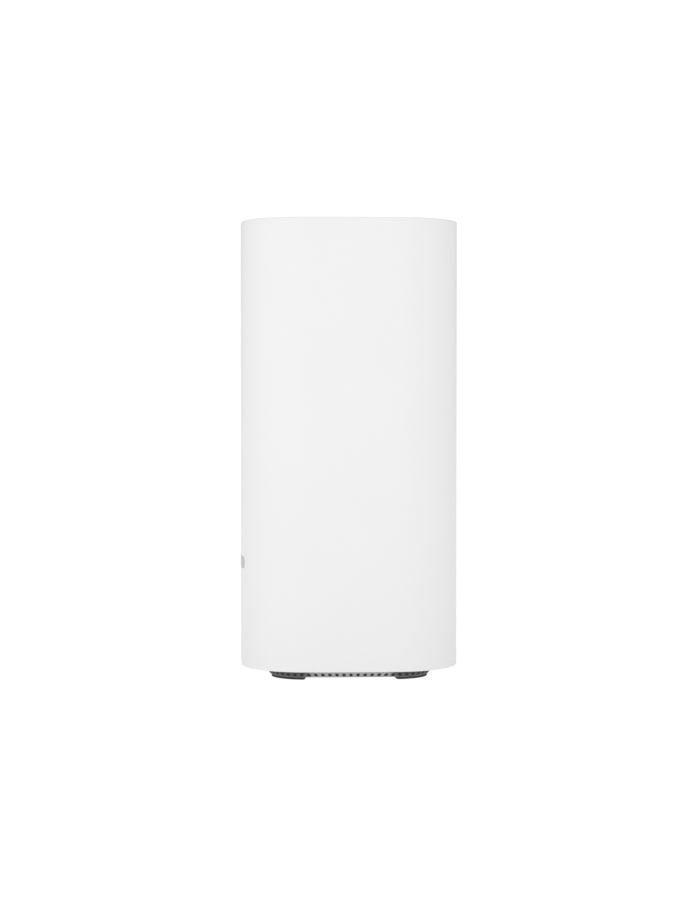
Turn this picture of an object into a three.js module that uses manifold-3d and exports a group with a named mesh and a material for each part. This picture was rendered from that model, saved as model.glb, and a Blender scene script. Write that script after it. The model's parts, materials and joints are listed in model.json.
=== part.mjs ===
// Mesh wifi node: a free-standing tower of rounded-square plan. A white one-piece housing stands on a set-in
// base tray with radial air slots and four rubber feet; the sockets sit in a bay at the rear.
// Millimetres, +Z up. The origin is under the tower's axis on the plane it stands on. The front faces -Y.
import * as THREE from 'three';
import { mergeVertices } from 'three/addons/utils/BufferGeometryUtils.js';
import Module from 'manifold-3d';

const wasm = await Module();
wasm.setup();

// ---------------------------------------------------------------- driving dimensions
const WIDTH = 114;
const HEIGHT = 238;
const CORNER_RADIUS = 34;
const CROWN_RADIUS = 500;
const WALL = 2.4;
const GAP = 0.3;
const TOUCH = 0.05;
const HALF = WIDTH / 2;

const FOOT_HEIGHT = 1.3;
const SKIRT_HEIGHT = 4.4;
const SKIRT_TOP_INSET = 11.5;
const SKIRT_BOTTOM_INSET = 15;
const SLOT_WIDTH = 1.7;
const SKIRT_SLOTS = 84;
const SKIRT_SLOT_ENDS = [13.4, 14.5];
const TRAY_FLOOR = 2;
const TRAY_TOP = 12;

const BAY_WIDTH = 42;
const BAY_HEIGHT = 82;
const BAY_BOTTOM = 22;
const BAY_RADIUS = 8;
const BAY_RIM = 1.8;
const PANEL_FRONT = 45.5;
const PANEL_THICKNESS = 2;
const SOCKET_FRONT = PANEL_FRONT + 0.8;

const BOARD_FRONT = 20;
const BOARD_THICKNESS = 1.6;
const BOARD_HALF_WIDTH = 42;
const BOARD_BOTTOM = 14;
const BOARD_TOP = 188;
const RAIL_WIDTH = 7;
const RAIL_DEPTH = 7.7;

const GRILLE_RECESS = 2.8;
const GRILLE_THICKNESS = 2.4;
const MOUTH_INSET = 6;
const LEDGE_INSET = 7.5;

const BUTTON_TRAVEL = 0.8;
const ROCKER_TILT = 11;

// ---------------------------------------------------------------- levels and places that follow from them
const HOUSING_BOTTOM = FOOT_HEIGHT + SKIRT_HEIGHT;
const FLOOR_TOP = FOOT_HEIGHT + TRAY_FLOOR;
const BAY_MIDDLE = BAY_BOTTOM + BAY_HEIGHT / 2;
const PANEL_BACK = PANEL_FRONT - PANEL_THICKNESS;
const BOARD_BACK = BOARD_FRONT + BOARD_THICKNESS;
const RAIL_CENTRE_X = BOARD_HALF_WIDTH - RAIL_WIDTH / 2;
const RAIL_BACK = BOARD_FRONT - GAP;
const RAIL_FRONT = RAIL_BACK - RAIL_DEPTH;
const GRILLE_TOP = HEIGHT - GRILLE_RECESS;
const GRILLE_BOTTOM = GRILLE_TOP - GRILLE_THICKNESS;
const POWER_ROW = 32.5;
const USB_ROW = 50;
const LAN_ROW = 68;
const UPPER_ROW = 87;
const COLUMN = 9.2;
const POST_OFFSET = 32.2;
const LIGHT_Y = -46.8;
const CARRIER_BOTTOM = BOARD_TOP + GAP;
const CARRIER_TOP = CARRIER_BOTTOM + 3;

const radians = THREE.MathUtils.degToRad;

// ---------------------------------------------------------------- finishes
const FINISHES = {
  white_plastic: { color: 0xf1f1f0, roughness: 0.42, metalness: 0 },
  grey_plastic: { color: 0x8f9092, roughness: 0.55, metalness: 0 },
  grille_plastic: { color: 0xe4e4e3, roughness: 0.5, metalness: 0 },
  black_plastic: { color: 0x1b1c1e, roughness: 0.5, metalness: 0 },
  frame_plastic: { color: 0x55585c, roughness: 0.6, metalness: 0 },
  blue_plastic: { color: 0x2d5f96, roughness: 0.5, metalness: 0 },
  red_plastic: { color: 0xa8342c, roughness: 0.5, metalness: 0 },
  clear_plastic: { color: 0xdfe8ee, roughness: 0.2, metalness: 0 },
  soft_rubber: { color: 0x3c3d3f, roughness: 0.85, metalness: 0 },
  thermal_rubber: { color: 0x9db4c4, roughness: 0.9, metalness: 0 },
  printed_grey: { color: 0xa9aaac, roughness: 0.4, metalness: 0.2 },
  label_film: { color: 0xc9cacb, roughness: 0.6, metalness: 0 },
  circuit_board: { color: 0x1f5a3c, roughness: 0.5, metalness: 0 },
  chip_black: { color: 0x202124, roughness: 0.6, metalness: 0 },
  aluminium: { color: 0xb9bcc0, roughness: 0.4, metalness: 1 },
  steel: { color: 0xa7abb0, roughness: 0.3, metalness: 1 },
  brass: { color: 0xb8995a, roughness: 0.35, metalness: 1 },
  cable_jacket: { color: 0x2a2b2d, roughness: 0.6, metalness: 0 },
};

const tower = new THREE.Group();

function add(name, shape, finish) {
  const geometry = shape instanceof THREE.BufferGeometry ? shape : geometryOf(shape);
  const mesh = new THREE.Mesh(geometry, new THREE.MeshStandardMaterial(FINISHES[finish]));
  mesh.name = name;
  tower.add(mesh);
  return mesh;
}

// ---------------------------------------------------------------- solids and booleans
function solidOf(geometry) {
  const bare = geometry.clone();
  bare.deleteAttribute('normal');
  bare.deleteAttribute('uv');
  const merged = mergeVertices(bare, 1e-5);
  return new wasm.Manifold(new wasm.Mesh({
    numProp: 3,
    vertProperties: new Float32Array(merged.attributes.position.array),
    triVerts: new Uint32Array(merged.index.array),
  }));
}

function geometryOf(solid) {
  const mesh = solid.getMesh();
  const geometry = new THREE.BufferGeometry();
  geometry.setAttribute('position', new THREE.BufferAttribute(mesh.vertProperties, mesh.numProp));
  geometry.setIndex(new THREE.BufferAttribute(mesh.triVerts, 1));
  geometry.computeVertexNormals();
  return geometry;
}

function join(...solids) {
  return solids.reduce((whole, solid) => whole.add(solid));
}

function cut(solid, ...cutters) {
  return cutters.reduce((rest, cutter) => rest.subtract(cutter), solid);
}

// ---------------------------------------------------------------- plan outlines
// Four slightly crowned sides joined by corner arcs. The arcs meet without a kink, which fixes how far the
// corner centres lie from the axis.
const CROWN_OFFSET = CROWN_RADIUS - HALF;
const CORNER_CENTRE =
  (Math.sqrt(2 * (CROWN_RADIUS - CORNER_RADIUS) ** 2 - CROWN_OFFSET ** 2) - CROWN_OFFSET) / 2;
const SIDE_REACH = Math.atan2(CORNER_CENTRE, CORNER_CENTRE + CROWN_OFFSET);
const QUARTER_TURN = Math.PI / 2;
const SIDE_STEPS = 2;
const CORNER_STEPS = 9;

// Points along an arc from one angle to another, without the last one.
function arc(x, y, radius, from, to, steps) {
  const points = [];
  for (let step = 0; step < steps; step += 1) {
    const angle = from + ((to - from) * step) / steps;
    points.push(new THREE.Vector2(x + radius * Math.cos(angle), y + radius * Math.sin(angle)));
  }
  return points;
}

// The tower's plan outline moved inwards by inset, starting at the middle of the +X side.
function outlinePoints(inset) {
  const crown = CROWN_RADIUS - inset;
  const corner = CORNER_RADIUS - inset;
  const quarter = [
    ...arc(-CROWN_OFFSET, 0, crown, 0, SIDE_REACH, SIDE_STEPS),
    ...arc(CORNER_CENTRE, CORNER_CENTRE, corner, SIDE_REACH, QUARTER_TURN - SIDE_REACH, CORNER_STEPS),
    ...arc(0, -CROWN_OFFSET, crown, QUARTER_TURN - SIDE_REACH, QUARTER_TURN, SIDE_STEPS),
  ];
  const origin = new THREE.Vector2();
  const points = [];
  for (let side = 0; side < 4; side += 1) {
    points.push(...quarter.map((point) => point.clone().rotateAround(origin, side * QUARTER_TURN)));
  }
  return points;
}

function outline(inset) {
  return new THREE.Shape(outlinePoints(inset));
}

function roundedRectangle(width, height, radius, steps = 4) {
  const x = width / 2 - radius;
  const y = height / 2 - radius;
  const corners = [[x, y], [-x, y], [-x, -y], [x, -y]];
  const points = [];
  corners.forEach(([cx, cy], index) => {
    const from = index * QUARTER_TURN;
    points.push(...arc(cx, cy, radius, from, from + QUARTER_TURN, steps));
    points.push(...arc(cx, cy, radius, from + QUARTER_TURN, from + QUARTER_TURN, 1));
  });
  return new THREE.Shape(points);
}

function rectangle(width, height, x = 0, y = 0) {
  const left = x - width / 2;
  const low = y - height / 2;
  return new THREE.Shape([
    new THREE.Vector2(left, low),
    new THREE.Vector2(left + width, low),
    new THREE.Vector2(left + width, low + height),
    new THREE.Vector2(left, low + height),
  ]);
}

function disc(radius, steps) {
  return new THREE.Shape(arc(0, 0, radius, 0, 4 * QUARTER_TURN, steps));
}

// ---------------------------------------------------------------- basic solids
// A plan shape raised from bottom to top, with optional sloped or rounded edges: run is how far the end
// faces are drawn in, rise how far along Z that takes.
function prism(shape, bottom, top, { run = 0, rise = run, steps = 1 } = {}) {
  const geometry = new THREE.ExtrudeGeometry(shape, {
    depth: top - bottom - 2 * rise,
    bevelEnabled: run > 0,
    bevelThickness: rise,
    bevelSize: run,
    bevelOffset: -run,
    bevelSegments: steps,
  });
  geometry.translate(0, 0, bottom + rise);
  return geometry;
}

// The same for a shape drawn in the XZ plane and carried along Y, from the front value to the back value.
function slabY(shape, front, back, edge) {
  const geometry = prism(shape, 0, back - front, edge);
  geometry.rotateX(QUARTER_TURN);
  geometry.translate(0, back, 0);
  return geometry;
}

function block([x0, x1], [y0, y1], [z0, z1]) {
  const geometry = new THREE.BoxGeometry(x1 - x0, y1 - y0, z1 - z0);
  geometry.translate((x0 + x1) / 2, (y0 + y1) / 2, (z0 + z1) / 2);
  return geometry;
}

function around(centre, size) {
  return [centre - size / 2, centre + size / 2];
}

function rodZ(radius, x, y, bottom, top, steps = 16) {
  return prism(disc(radius, steps), bottom, top).translate(x, y, 0);
}

function rodY(radius, x, z, front, back, steps = 16) {
  return slabY(disc(radius, steps), front, back).translate(x, 0, z);
}

// A solid of revolution about Z from [radius, height] pairs that start and end on the axis.
function turned(profile, steps = 20) {
  return new THREE.LatheGeometry(profile.map(([radius, z]) => new THREE.Vector2(radius, z)), steps)
    .rotateX(QUARTER_TURN);
}

function cable(radius, stops) {
  const path = new THREE.CatmullRomCurve3(stops.map((stop) => new THREE.Vector3(...stop)));
  return new THREE.ExtrudeGeometry(disc(radius, 6), { steps: 12, bevelEnabled: false, extrudePath: path });
}

// Narrow cutters that point at the axis, spaced evenly along the outline at the middle of a band, and
// limited to that band between two insets.
function radialSlots(count, width, outerInset, innerInset, bottom, top) {
  const points = outlinePoints((outerInset + innerInset) / 2);
  const track = new THREE.Path([...points, points[0]]);
  const reach = innerInset - outerInset;
  const origin = new THREE.Vector2();
  const fins = track.getSpacedPoints(count).slice(0, count).map((point) => {
    const fin = rectangle(2 * reach, width, point.length());
    return new THREE.Shape(fin.getPoints().map((corner) => corner.rotateAround(origin, point.angle())));
  });
  const band = cut(
    solidOf(prism(outline(outerInset), bottom, top)),
    solidOf(prism(outline(innerInset), bottom - 1, top + 1)),
  );
  return solidOf(prism(fins, bottom - 1, top + 1)).intersect(band);
}

// Runs a function at the four places (±x, ±y), with a name for each.
function atFourCorners(x, y, visit) {
  visit('front_left', -x, -y);
  visit('front_right', x, -y);
  visit('rear_left', -x, y);
  visit('rear_right', x, y);
}

// ---------------------------------------------------------------- outer housing
const HOUSING_EDGE = 1;
const COLLAR_BOTTOM = 229;
const POST_RADIUS = 4.5;
const POST_BOTTOM = 8.3;
const POST_TOP = 26;
const SCREW_BORE = 1.7;
const NAMEPLATE = { width: 65, height: 6.2, middle: 60.1, depth: 0.5 };

function nameplateZone(margin, shallow, deep) {
  const skin = cut(
    solidOf(prism(outline(shallow), 0, HEIGHT)),
    solidOf(prism(outline(deep), -1, HEIGHT + 1)),
  );
  const window = block(
    around(0, NAMEPLATE.width + 2 * margin),
    [-HALF - 2, -HALF + 4],
    around(NAMEPLATE.middle, NAMEPLATE.height + 2 * margin),
  );
  return skin.intersect(solidOf(window));
}

// A screw post in one corner, with a web that ties it to the corner wall above the base tray.
function housingPost(x, y) {
  const post = solidOf(rodZ(POST_RADIUS, x, y, POST_BOTTOM, POST_TOP));
  const web = block([0, 20], around(0, 2), [TRAY_TOP + 0.5, POST_TOP])
    .rotateZ(Math.atan2(y, x))
    .translate(x, y, 0);
  const inside = solidOf(prism(outline(WALL - 0.5), 0, HEIGHT));
  return join(post, solidOf(web)).intersect(inside);
}

function outerHousing() {
  let solid = cut(
    solidOf(prism(outline(0), HOUSING_BOTTOM, HEIGHT, { run: HOUSING_EDGE, steps: 2 })),
    solidOf(prism(outline(WALL), HOUSING_BOTTOM - 1, COLLAR_BOTTOM)),
    solidOf(prism(outline(LEDGE_INSET), COLLAR_BOTTOM - 1, HEIGHT + 1)),
    solidOf(prism(outline(MOUTH_INSET), GRILLE_BOTTOM - GAP, HEIGHT + 1)),
    nameplateZone(0.15, -1, NAMEPLATE.depth),
  );
  atFourCorners(POST_OFFSET, POST_OFFSET, (name, x, y) => {
    solid = solid.add(housingPost(x, y));
    solid = solid.subtract(solidOf(rodZ(SCREW_BORE, x, y, POST_BOTTOM - 1, POST_TOP - 2, 12)));
  });
  const bay = slabY(roundedRectangle(BAY_WIDTH, BAY_HEIGHT, BAY_RADIUS), 30, HALF + 2)
    .translate(0, 0, BAY_MIDDLE);
  add('outer_housing', solid.subtract(solidOf(bay)), 'white_plastic');
}

function frontNameplate() {
  add('front_nameplate', nameplateZone(0, TOUCH, NAMEPLATE.depth - TOUCH), 'printed_grey');
}

// ---------------------------------------------------------------- top grille and status light
const OUTER_BAND = { slots: 64, outer: 12.8, inner: 20.4 };
const INNER_BAND = { slots: 44, outer: 22.6, inner: 30 };
const LIGHT_BOARD = { width: 22, depth: 7, bottom: 226, thickness: 1.2, post: 7 };
const LIGHT_RADIUS = 1.6;

function topGrille() {
  const plate = solidOf(prism(outline(MOUTH_INSET + GAP), GRILLE_BOTTOM, GRILLE_TOP, { run: 0.4 }));
  const cutters = [OUTER_BAND, INNER_BAND].map((band) => radialSlots(
    band.slots,
    SLOT_WIDTH,
    band.outer,
    band.inner,
    GRILLE_BOTTOM - 1,
    GRILLE_TOP + 1,
  ));
  const lightHole = solidOf(rodZ(LIGHT_RADIUS + GAP, 0, LIGHT_Y, GRILLE_BOTTOM - 1, GRILLE_TOP + 1));
  const postFoot = LIGHT_BOARD.bottom + LIGHT_BOARD.thickness + TOUCH;
  const posts = [-LIGHT_BOARD.post, LIGHT_BOARD.post].map(
    (x) => solidOf(rodZ(1.5, x, LIGHT_Y, postFoot, GRILLE_BOTTOM + 1, 10)),
  );
  add('top_grille', join(cut(plate, ...cutters, lightHole), ...posts), 'grille_plastic');
}

function statusLight() {
  const { width, depth, bottom, thickness } = LIGHT_BOARD;
  const boardTop = bottom + thickness;
  const ledTop = boardTop + 1.1;
  const flange = GRILLE_BOTTOM - GAP;
  const board = block(around(0, width), around(LIGHT_Y, depth), [bottom, boardTop]);
  const led = block(around(0, 3), around(LIGHT_Y, 1.6), [boardTop + TOUCH, ledTop]);
  add('status_light_board', board, 'circuit_board');
  add('status_led', led, 'clear_plastic');
  const profile = [
    [0, ledTop + GAP],
    [LIGHT_RADIUS, ledTop + GAP],
    [LIGHT_RADIUS, flange - 1],
    [2.2, flange - 1],
    [2.2, flange],
    [LIGHT_RADIUS, flange],
    [LIGHT_RADIUS, GRILLE_TOP],
    [0, GRILLE_TOP],
  ];
  add('status_light_pipe', turned(profile, 16), 'clear_plastic').position.y = LIGHT_Y;
  const stops = [
    [5, LIGHT_Y + 2, bottom - 0.8],
    [5, LIGHT_Y + 5, bottom - 12],
    [2, -5, 203],
    [0, 14, 199],
    [0, BOARD_BACK + 3, 195],
    [0, BOARD_BACK + 1.2, BOARD_TOP - 2],
  ];
  add('status_light_cable', cable(0.9, stops), 'cable_jacket');
}

// ---------------------------------------------------------------- base tray, screws, feet, underside
const CUP_RADIUS = 5.2;
const CUP_TOP = POST_BOTTOM - GAP;
const COUNTERBORE = { radius: 3.4, top: FOOT_HEIGHT + 2.5 };
const PLATE = { width: 38, depth: 30, thickness: 0.4 };
const RESET = { x: 25, y: 17.5, capRadius: 2.4, flangeRadius: 3.6, stemRadius: 1.4 };
const RESET_FLANGE = 0.9;
// The frame's lower cross member leaves room for the reset button's flange and its travel.
const CROSS_BOTTOM = FLOOR_TOP + GAP + RESET_FLANGE + BUTTON_TRAVEL + 0.4;
// The rails end above the foot of the skirt's inner slope.
const RAIL_BOTTOM = FLOOR_TOP + 1;
const TRAY_WALL_INSET = WALL + 0.4;

// A tray's outer or inner form: a set-in skirt that slopes out from the floor, and above it a straight wall.
function bowl(wallInset, bottom) {
  const fold = bottom + SKIRT_HEIGHT;
  const slope = { run: SKIRT_BOTTOM_INSET - SKIRT_TOP_INSET, rise: SKIRT_HEIGHT };
  const skirt = prism(outline(SKIRT_TOP_INSET), bottom, fold + SKIRT_HEIGHT + 1, slope);
  return join(solidOf(skirt), solidOf(prism(outline(wallInset), fold, 2 * TRAY_TOP)));
}

// A collar standing on the tray floor that locates the lower end of one frame rail.
function railSocket(centreX) {
  const outer = block(
    around(centreX, RAIL_WIDTH + 3.2),
    [RAIL_FRONT - 1.6, RAIL_BACK + 1.6],
    [FLOOR_TOP - 0.5, CROSS_BOTTOM - GAP],
  );
  const inner = block(
    around(centreX, RAIL_WIDTH + 2 * GAP),
    [RAIL_FRONT - GAP, RAIL_BACK + GAP],
    [FLOOR_TOP, FLOOR_TOP + 5],
  );
  return cut(solidOf(outer), solidOf(inner));
}

function baseTray() {
  const plateRecess = roundedRectangle(PLATE.width + 1, PLATE.depth + 1, 3);
  let solid = cut(
    bowl(TRAY_WALL_INSET, FOOT_HEIGHT),
    bowl(TRAY_WALL_INSET + TRAY_FLOOR, FLOOR_TOP),
    solidOf(block(around(0, WIDTH), around(0, WIDTH), [TRAY_TOP, 4 * TRAY_TOP])),
    radialSlots(SKIRT_SLOTS, SLOT_WIDTH, ...SKIRT_SLOT_ENDS, 0, TRAY_TOP),
    solidOf(prism(plateRecess, 0, FOOT_HEIGHT + PLATE.thickness + TOUCH)),
    solidOf(rodZ(RESET.capRadius + GAP, RESET.x, RESET.y, 0, TRAY_TOP)),
  );
  solid = join(solid, railSocket(RAIL_CENTRE_X), railSocket(-RAIL_CENTRE_X));
  atFourCorners(POST_OFFSET, POST_OFFSET, (name, x, y) => {
    solid = solid.add(solidOf(rodZ(CUP_RADIUS, x, y, FOOT_HEIGHT, CUP_TOP)));
    solid = cut(
      solid,
      solidOf(rodZ(COUNTERBORE.radius, x, y, 0, COUNTERBORE.top)),
      solidOf(rodZ(SCREW_BORE, x, y, 0, TRAY_TOP, 12)),
    );
  });
  add('base_tray', solid, 'grey_plastic');
}

function screw(name, headRadius, headHeight, length) {
  const profile = [
    [0, 0],
    [headRadius, 0],
    [headRadius, headHeight],
    [1.45, headHeight],
    [1.45, length - 1.5],
    [0, length],
  ];
  return add(name, turned(profile, 12), 'steel');
}

function baseScrews() {
  const headHeight = 1.9;
  atFourCorners(POST_OFFSET, POST_OFFSET, (name, x, y) => {
    const mesh = screw(`base_screw_${name}`, 3, headHeight, 17);
    mesh.position.set(x, y, COUNTERBORE.top - TOUCH - headHeight);
  });
}

const FOOT = { outer: 18.7, inner: 9.6, trim: radians(4), edge: 0.35 };

// Each foot is an arc-shaped pad concentric with the tower's corner.
function footPad() {
  const steps = 8;
  const from = FOOT.trim;
  const to = QUARTER_TURN - FOOT.trim;
  const shape = new THREE.Shape([
    ...arc(0, 0, FOOT.outer, from, to, steps),
    ...arc(0, 0, FOOT.outer, to, to, 1),
    ...arc(0, 0, FOOT.inner, to, from, steps),
    ...arc(0, 0, FOOT.inner, from, from, 1),
  ]);
  return prism(shape, 0, FOOT_HEIGHT - TOUCH, { run: FOOT.edge });
}

function feet() {
  atFourCorners(CORNER_CENTRE, CORNER_CENTRE, (name, x, y) => {
    const mesh = add(`foot_${name}`, footPad(), 'soft_rubber');
    mesh.position.set(x, y, 0);
    mesh.rotation.z = Math.atan2(y, x) - QUARTER_TURN / 2;
  });
}

function ratingPlate() {
  const shape = roundedRectangle(PLATE.width, PLATE.depth, 2.5);
  add('rating_plate', prism(shape, FOOT_HEIGHT, FOOT_HEIGHT + PLATE.thickness), 'label_film');
}

// ---------------------------------------------------------------- rear sockets
const SOCKET_BACK = BOARD_BACK + 0.1;
const JACK = { width: 16, height: 13.5, mouthWidth: 11.8, mouthHeight: 7.2, mouthDepth: 14 };
const LATCH = { width: 6.4, drop: 1.6, keyWidth: 3.6, keyDrop: 1.3 };
const USB = { x: -COLUMN, width: 14.4, height: 7.1, wall: 0.9, mouthDepth: 18 };
const POWER_INLET = { x: -COLUMN, size: 11.6, mouthRadius: 2.95, mouthDepth: 11, pinRadius: 1.05 };
const SWITCH = { x: COLUMN, width: 15, height: 9.6, cavityWidth: 13, cavityHeight: 7.8, lip: 1.2 };
const PAIR_BUTTON = { x: COLUMN, capRadius: 3.9, flangeRadius: 5.2, stemRadius: 1.8 };
const SWITCH_FACE = PANEL_FRONT + 1.5;
const ROCKER_PIVOT = PANEL_FRONT - 0.9;

const JACKS = [
  { name: 'internet_jack', x: -COLUMN, z: UPPER_ROW, finish: 'blue_plastic' },
  { name: 'lan_jack_1', x: COLUMN, z: UPPER_ROW, finish: 'black_plastic' },
  { name: 'lan_jack_2', x: -COLUMN, z: LAN_ROW, finish: 'black_plastic' },
  { name: 'lan_jack_3', x: COLUMN, z: LAN_ROW, finish: 'black_plastic' },
];

function panelHole(width, height, x, z) {
  const shape = rectangle(width + 2 * GAP, height + 2 * GAP);
  return solidOf(slabY(shape, PANEL_BACK - 1, PANEL_FRONT + 1).translate(x, 0, z));
}

// The panel is the floor of a shallow tray whose rim follows the housing's rear face.
function portPanel() {
  const width = BAY_WIDTH - 2 * GAP;
  const height = BAY_HEIGHT - 2 * GAP;
  const outer = slabY(roundedRectangle(width, height, BAY_RADIUS - GAP), PANEL_BACK, HALF)
    .translate(0, 0, BAY_MIDDLE);
  const inner = slabY(
    roundedRectangle(width - 2 * BAY_RIM, height - 2 * BAY_RIM, BAY_RADIUS - GAP - BAY_RIM),
    PANEL_FRONT,
    HALF + 2,
  ).translate(0, 0, BAY_MIDDLE);
  const solid = cut(
    solidOf(outer).intersect(solidOf(prism(outline(0.8), 0, HEIGHT))),
    solidOf(inner),
    ...JACKS.map(({ x, z }) => panelHole(JACK.width, JACK.height, x, z)),
    panelHole(USB.width, USB.height, USB.x, USB_ROW),
    panelHole(POWER_INLET.size, POWER_INLET.size, POWER_INLET.x, POWER_ROW),
    panelHole(SWITCH.width, SWITCH.height, SWITCH.x, POWER_ROW),
    solidOf(rodY(PAIR_BUTTON.capRadius + GAP, PAIR_BUTTON.x, USB_ROW, PANEL_BACK - 1, PANEL_FRONT + 1)),
  );
  add('port_panel', solid, 'black_plastic');
}

// One network jack: a block with a stepped mouth for the plug and its latch, drawn about its own middle.
function networkJack() {
  const { width, height, mouthWidth, mouthHeight, mouthDepth } = JACK;
  const mouthTop = height / 2 - 1.6;
  const mouthBottom = mouthTop - mouthHeight;
  const front = SOCKET_FRONT + 1;
  const back = SOCKET_FRONT - mouthDepth;
  const shelf = mouthBottom - LATCH.drop;
  const openings = [
    block(around(0, mouthWidth), [back, front], [mouthBottom, mouthTop]),
    block(around(0, LATCH.width), [back, front], [shelf, mouthBottom + 1]),
    block(around(0, LATCH.keyWidth), [back, front], [shelf - LATCH.keyDrop, shelf + 1]),
  ];
  const body = block(around(0, width), [SOCKET_BACK, SOCKET_FRONT], around(0, height));
  return cut(solidOf(body), ...openings.map(solidOf));
}

function networkJacks() {
  JACKS.forEach(({ name, x, z, finish }) => {
    add(name, networkJack(), finish).position.set(x, 0, z);
  });
}

function usbPort() {
  const { x, width, height, wall, mouthDepth } = USB;
  const cavityBack = SOCKET_FRONT - mouthDepth;
  const sleeve = block(around(x, width), [SOCKET_BACK, SOCKET_FRONT], around(USB_ROW, height));
  const cavity = block(
    around(x, width - 2 * wall),
    [cavityBack, SOCKET_FRONT + 1],
    around(USB_ROW, height - 2 * wall),
  );
  const tongue = block(around(x, 11.2), [cavityBack + TOUCH, SOCKET_FRONT - 1.6], around(USB_ROW + 1.1, 1.9));
  add('usb_port', cut(solidOf(sleeve), solidOf(cavity)), 'steel');
  add('usb_tongue', tongue, 'blue_plastic');
}

function powerInlet() {
  const { x, size, mouthRadius, mouthDepth, pinRadius } = POWER_INLET;
  const mouthBack = SOCKET_FRONT - mouthDepth;
  const body = block(around(x, size), [SOCKET_BACK, SOCKET_FRONT], around(POWER_ROW, size));
  const mouth = rodY(mouthRadius, x, POWER_ROW, mouthBack, SOCKET_FRONT + 1, 24);
  add('dc_jack', cut(solidOf(body), solidOf(mouth)), 'black_plastic');
  add('dc_jack_pin', rodY(pinRadius, x, POWER_ROW, mouthBack + TOUCH, SOCKET_FRONT - 1, 12), 'brass');
}

function powerSwitch() {
  const { x, width, height, cavityWidth, cavityHeight, lip } = SWITCH;
  const cavityBack = ROCKER_PIVOT - 6.6;
  const barrel = block(around(x, width), [cavityBack - 5, PANEL_FRONT + 0.5], around(POWER_ROW, height));
  const bezel = slabY(
    roundedRectangle(width + 2 * lip, height + 2 * lip, 1.2, 3),
    PANEL_FRONT + TOUCH,
    SWITCH_FACE,
  ).translate(x, 0, POWER_ROW);
  const cavity = block(
    around(x, cavityWidth),
    [cavityBack, SWITCH_FACE + 1],
    around(POWER_ROW, cavityHeight),
  );
  const pivotBore = rodZ(1.15, x, ROCKER_PIVOT, POWER_ROW - height, POWER_ROW + height, 12);
  const body = cut(join(solidOf(barrel), solidOf(bezel)), solidOf(cavity), solidOf(pivotBore));
  add('power_switch_body', body, 'black_plastic');
}

// The rocker is drawn about its pivot at mid travel, then laid over to its "on" side.
function powerRocker() {
  const halfLength = 5.7;
  const endHeight = 2.9;
  const dishDepth = 1;
  const profile = new THREE.Shape([
    new THREE.Vector2(halfLength, endHeight),
    new THREE.Vector2(0, endHeight - dishDepth),
    new THREE.Vector2(-halfLength, endHeight),
    ...arc(0, 0, halfLength, 2 * QUARTER_TURN, 4 * QUARTER_TURN, 10),
    new THREE.Vector2(halfLength, 0),
  ]);
  const halfWidth = SWITCH.cavityHeight / 2 - GAP;
  const nub = SWITCH.height / 2 - 0.4;
  const solid = join(
    solidOf(prism(profile, -halfWidth, halfWidth)),
    solidOf(rodZ(0.95, 0, 0, -nub, nub, 12)),
  );
  const mesh = add('power_rocker', solid, 'black_plastic');
  mesh.position.set(SWITCH.x, ROCKER_PIVOT, POWER_ROW);
  mesh.rotation.z = radians(ROCKER_TILT);
}

// ---------------------------------------------------------------- buttons and their switches
// A button is turned about its own travel axis, from the stem's end to the face that a finger meets.
function buttonProfile({ capRadius, flangeRadius, stemRadius }, flangeStart, flangeEnd, face) {
  return [
    [0, 0],
    [stemRadius, 0],
    [stemRadius, flangeStart],
    [flangeRadius, flangeStart],
    [flangeRadius, flangeEnd],
    [capRadius, flangeEnd],
    [capRadius, face - 0.4],
    [capRadius - 0.4, face],
    [0, face],
  ];
}

function pairingButton() {
  const { x } = PAIR_BUTTON;
  const bodyFront = BOARD_BACK + 0.1;
  const bodyBack = bodyFront + 3.6;
  const plungerEnd = bodyBack + 1.3;
  const stemEnd = plungerEnd + TOUCH;
  const flangeEnd = PANEL_BACK - GAP - 0.1;
  const profile = buttonProfile(
    PAIR_BUTTON,
    flangeEnd - 1.1 - stemEnd,
    flangeEnd - stemEnd,
    SWITCH_FACE - stemEnd,
  );
  const button = add('pairing_button', turned(profile, 24), 'white_plastic');
  button.position.set(x, stemEnd, USB_ROW);
  button.rotation.x = -QUARTER_TURN;
  const body = cut(
    solidOf(block(around(x, 6.2), [bodyFront, bodyBack], around(USB_ROW, 6.2))),
    solidOf(rodY(2.05, x, USB_ROW, bodyBack - 1.3 - BUTTON_TRAVEL - GAP, bodyBack + 1)),
  );
  add('pairing_switch', body, 'black_plastic');
  add('pairing_switch_plunger', rodY(1.75, x, USB_ROW, bodyBack - 1.3, plungerEnd, 12), 'grey_plastic');
}

function resetButton() {
  const { x, y } = RESET;
  const face = FOOT_HEIGHT + 0.3;
  const bodyBottom = BOARD_BOTTOM + 2.2;
  const plungerBottom = bodyBottom - 2;
  const stemEnd = plungerBottom - TOUCH;
  const flangeBottom = FLOOR_TOP + GAP;
  const profile = buttonProfile(
    RESET,
    stemEnd - flangeBottom - RESET_FLANGE,
    stemEnd - flangeBottom,
    stemEnd - face,
  );
  const button = add('reset_button', turned(profile, 20), 'red_plastic');
  button.position.set(x, y, stemEnd);
  button.rotation.x = Math.PI;
  const depth = 4.7;
  const boardSide = BOARD_FRONT - 0.1;
  const body = cut(
    solidOf(block(around(x, 6), [boardSide - depth, boardSide], [bodyBottom, bodyBottom + 5])),
    solidOf(rodZ(1.4, x, y, bodyBottom - 1, bodyBottom + 1.6 + BUTTON_TRAVEL + GAP)),
  );
  add('reset_switch', body, 'black_plastic');
  add('reset_switch_plunger', rodZ(1.1, x, y, plungerBottom, bodyBottom + 1.6, 12), 'grey_plastic');
}

// ---------------------------------------------------------------- circuit board and what it carries
const BOARD_SCREW_Z = [BOARD_BOTTOM + 5, BOARD_TOP - 5];

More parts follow.
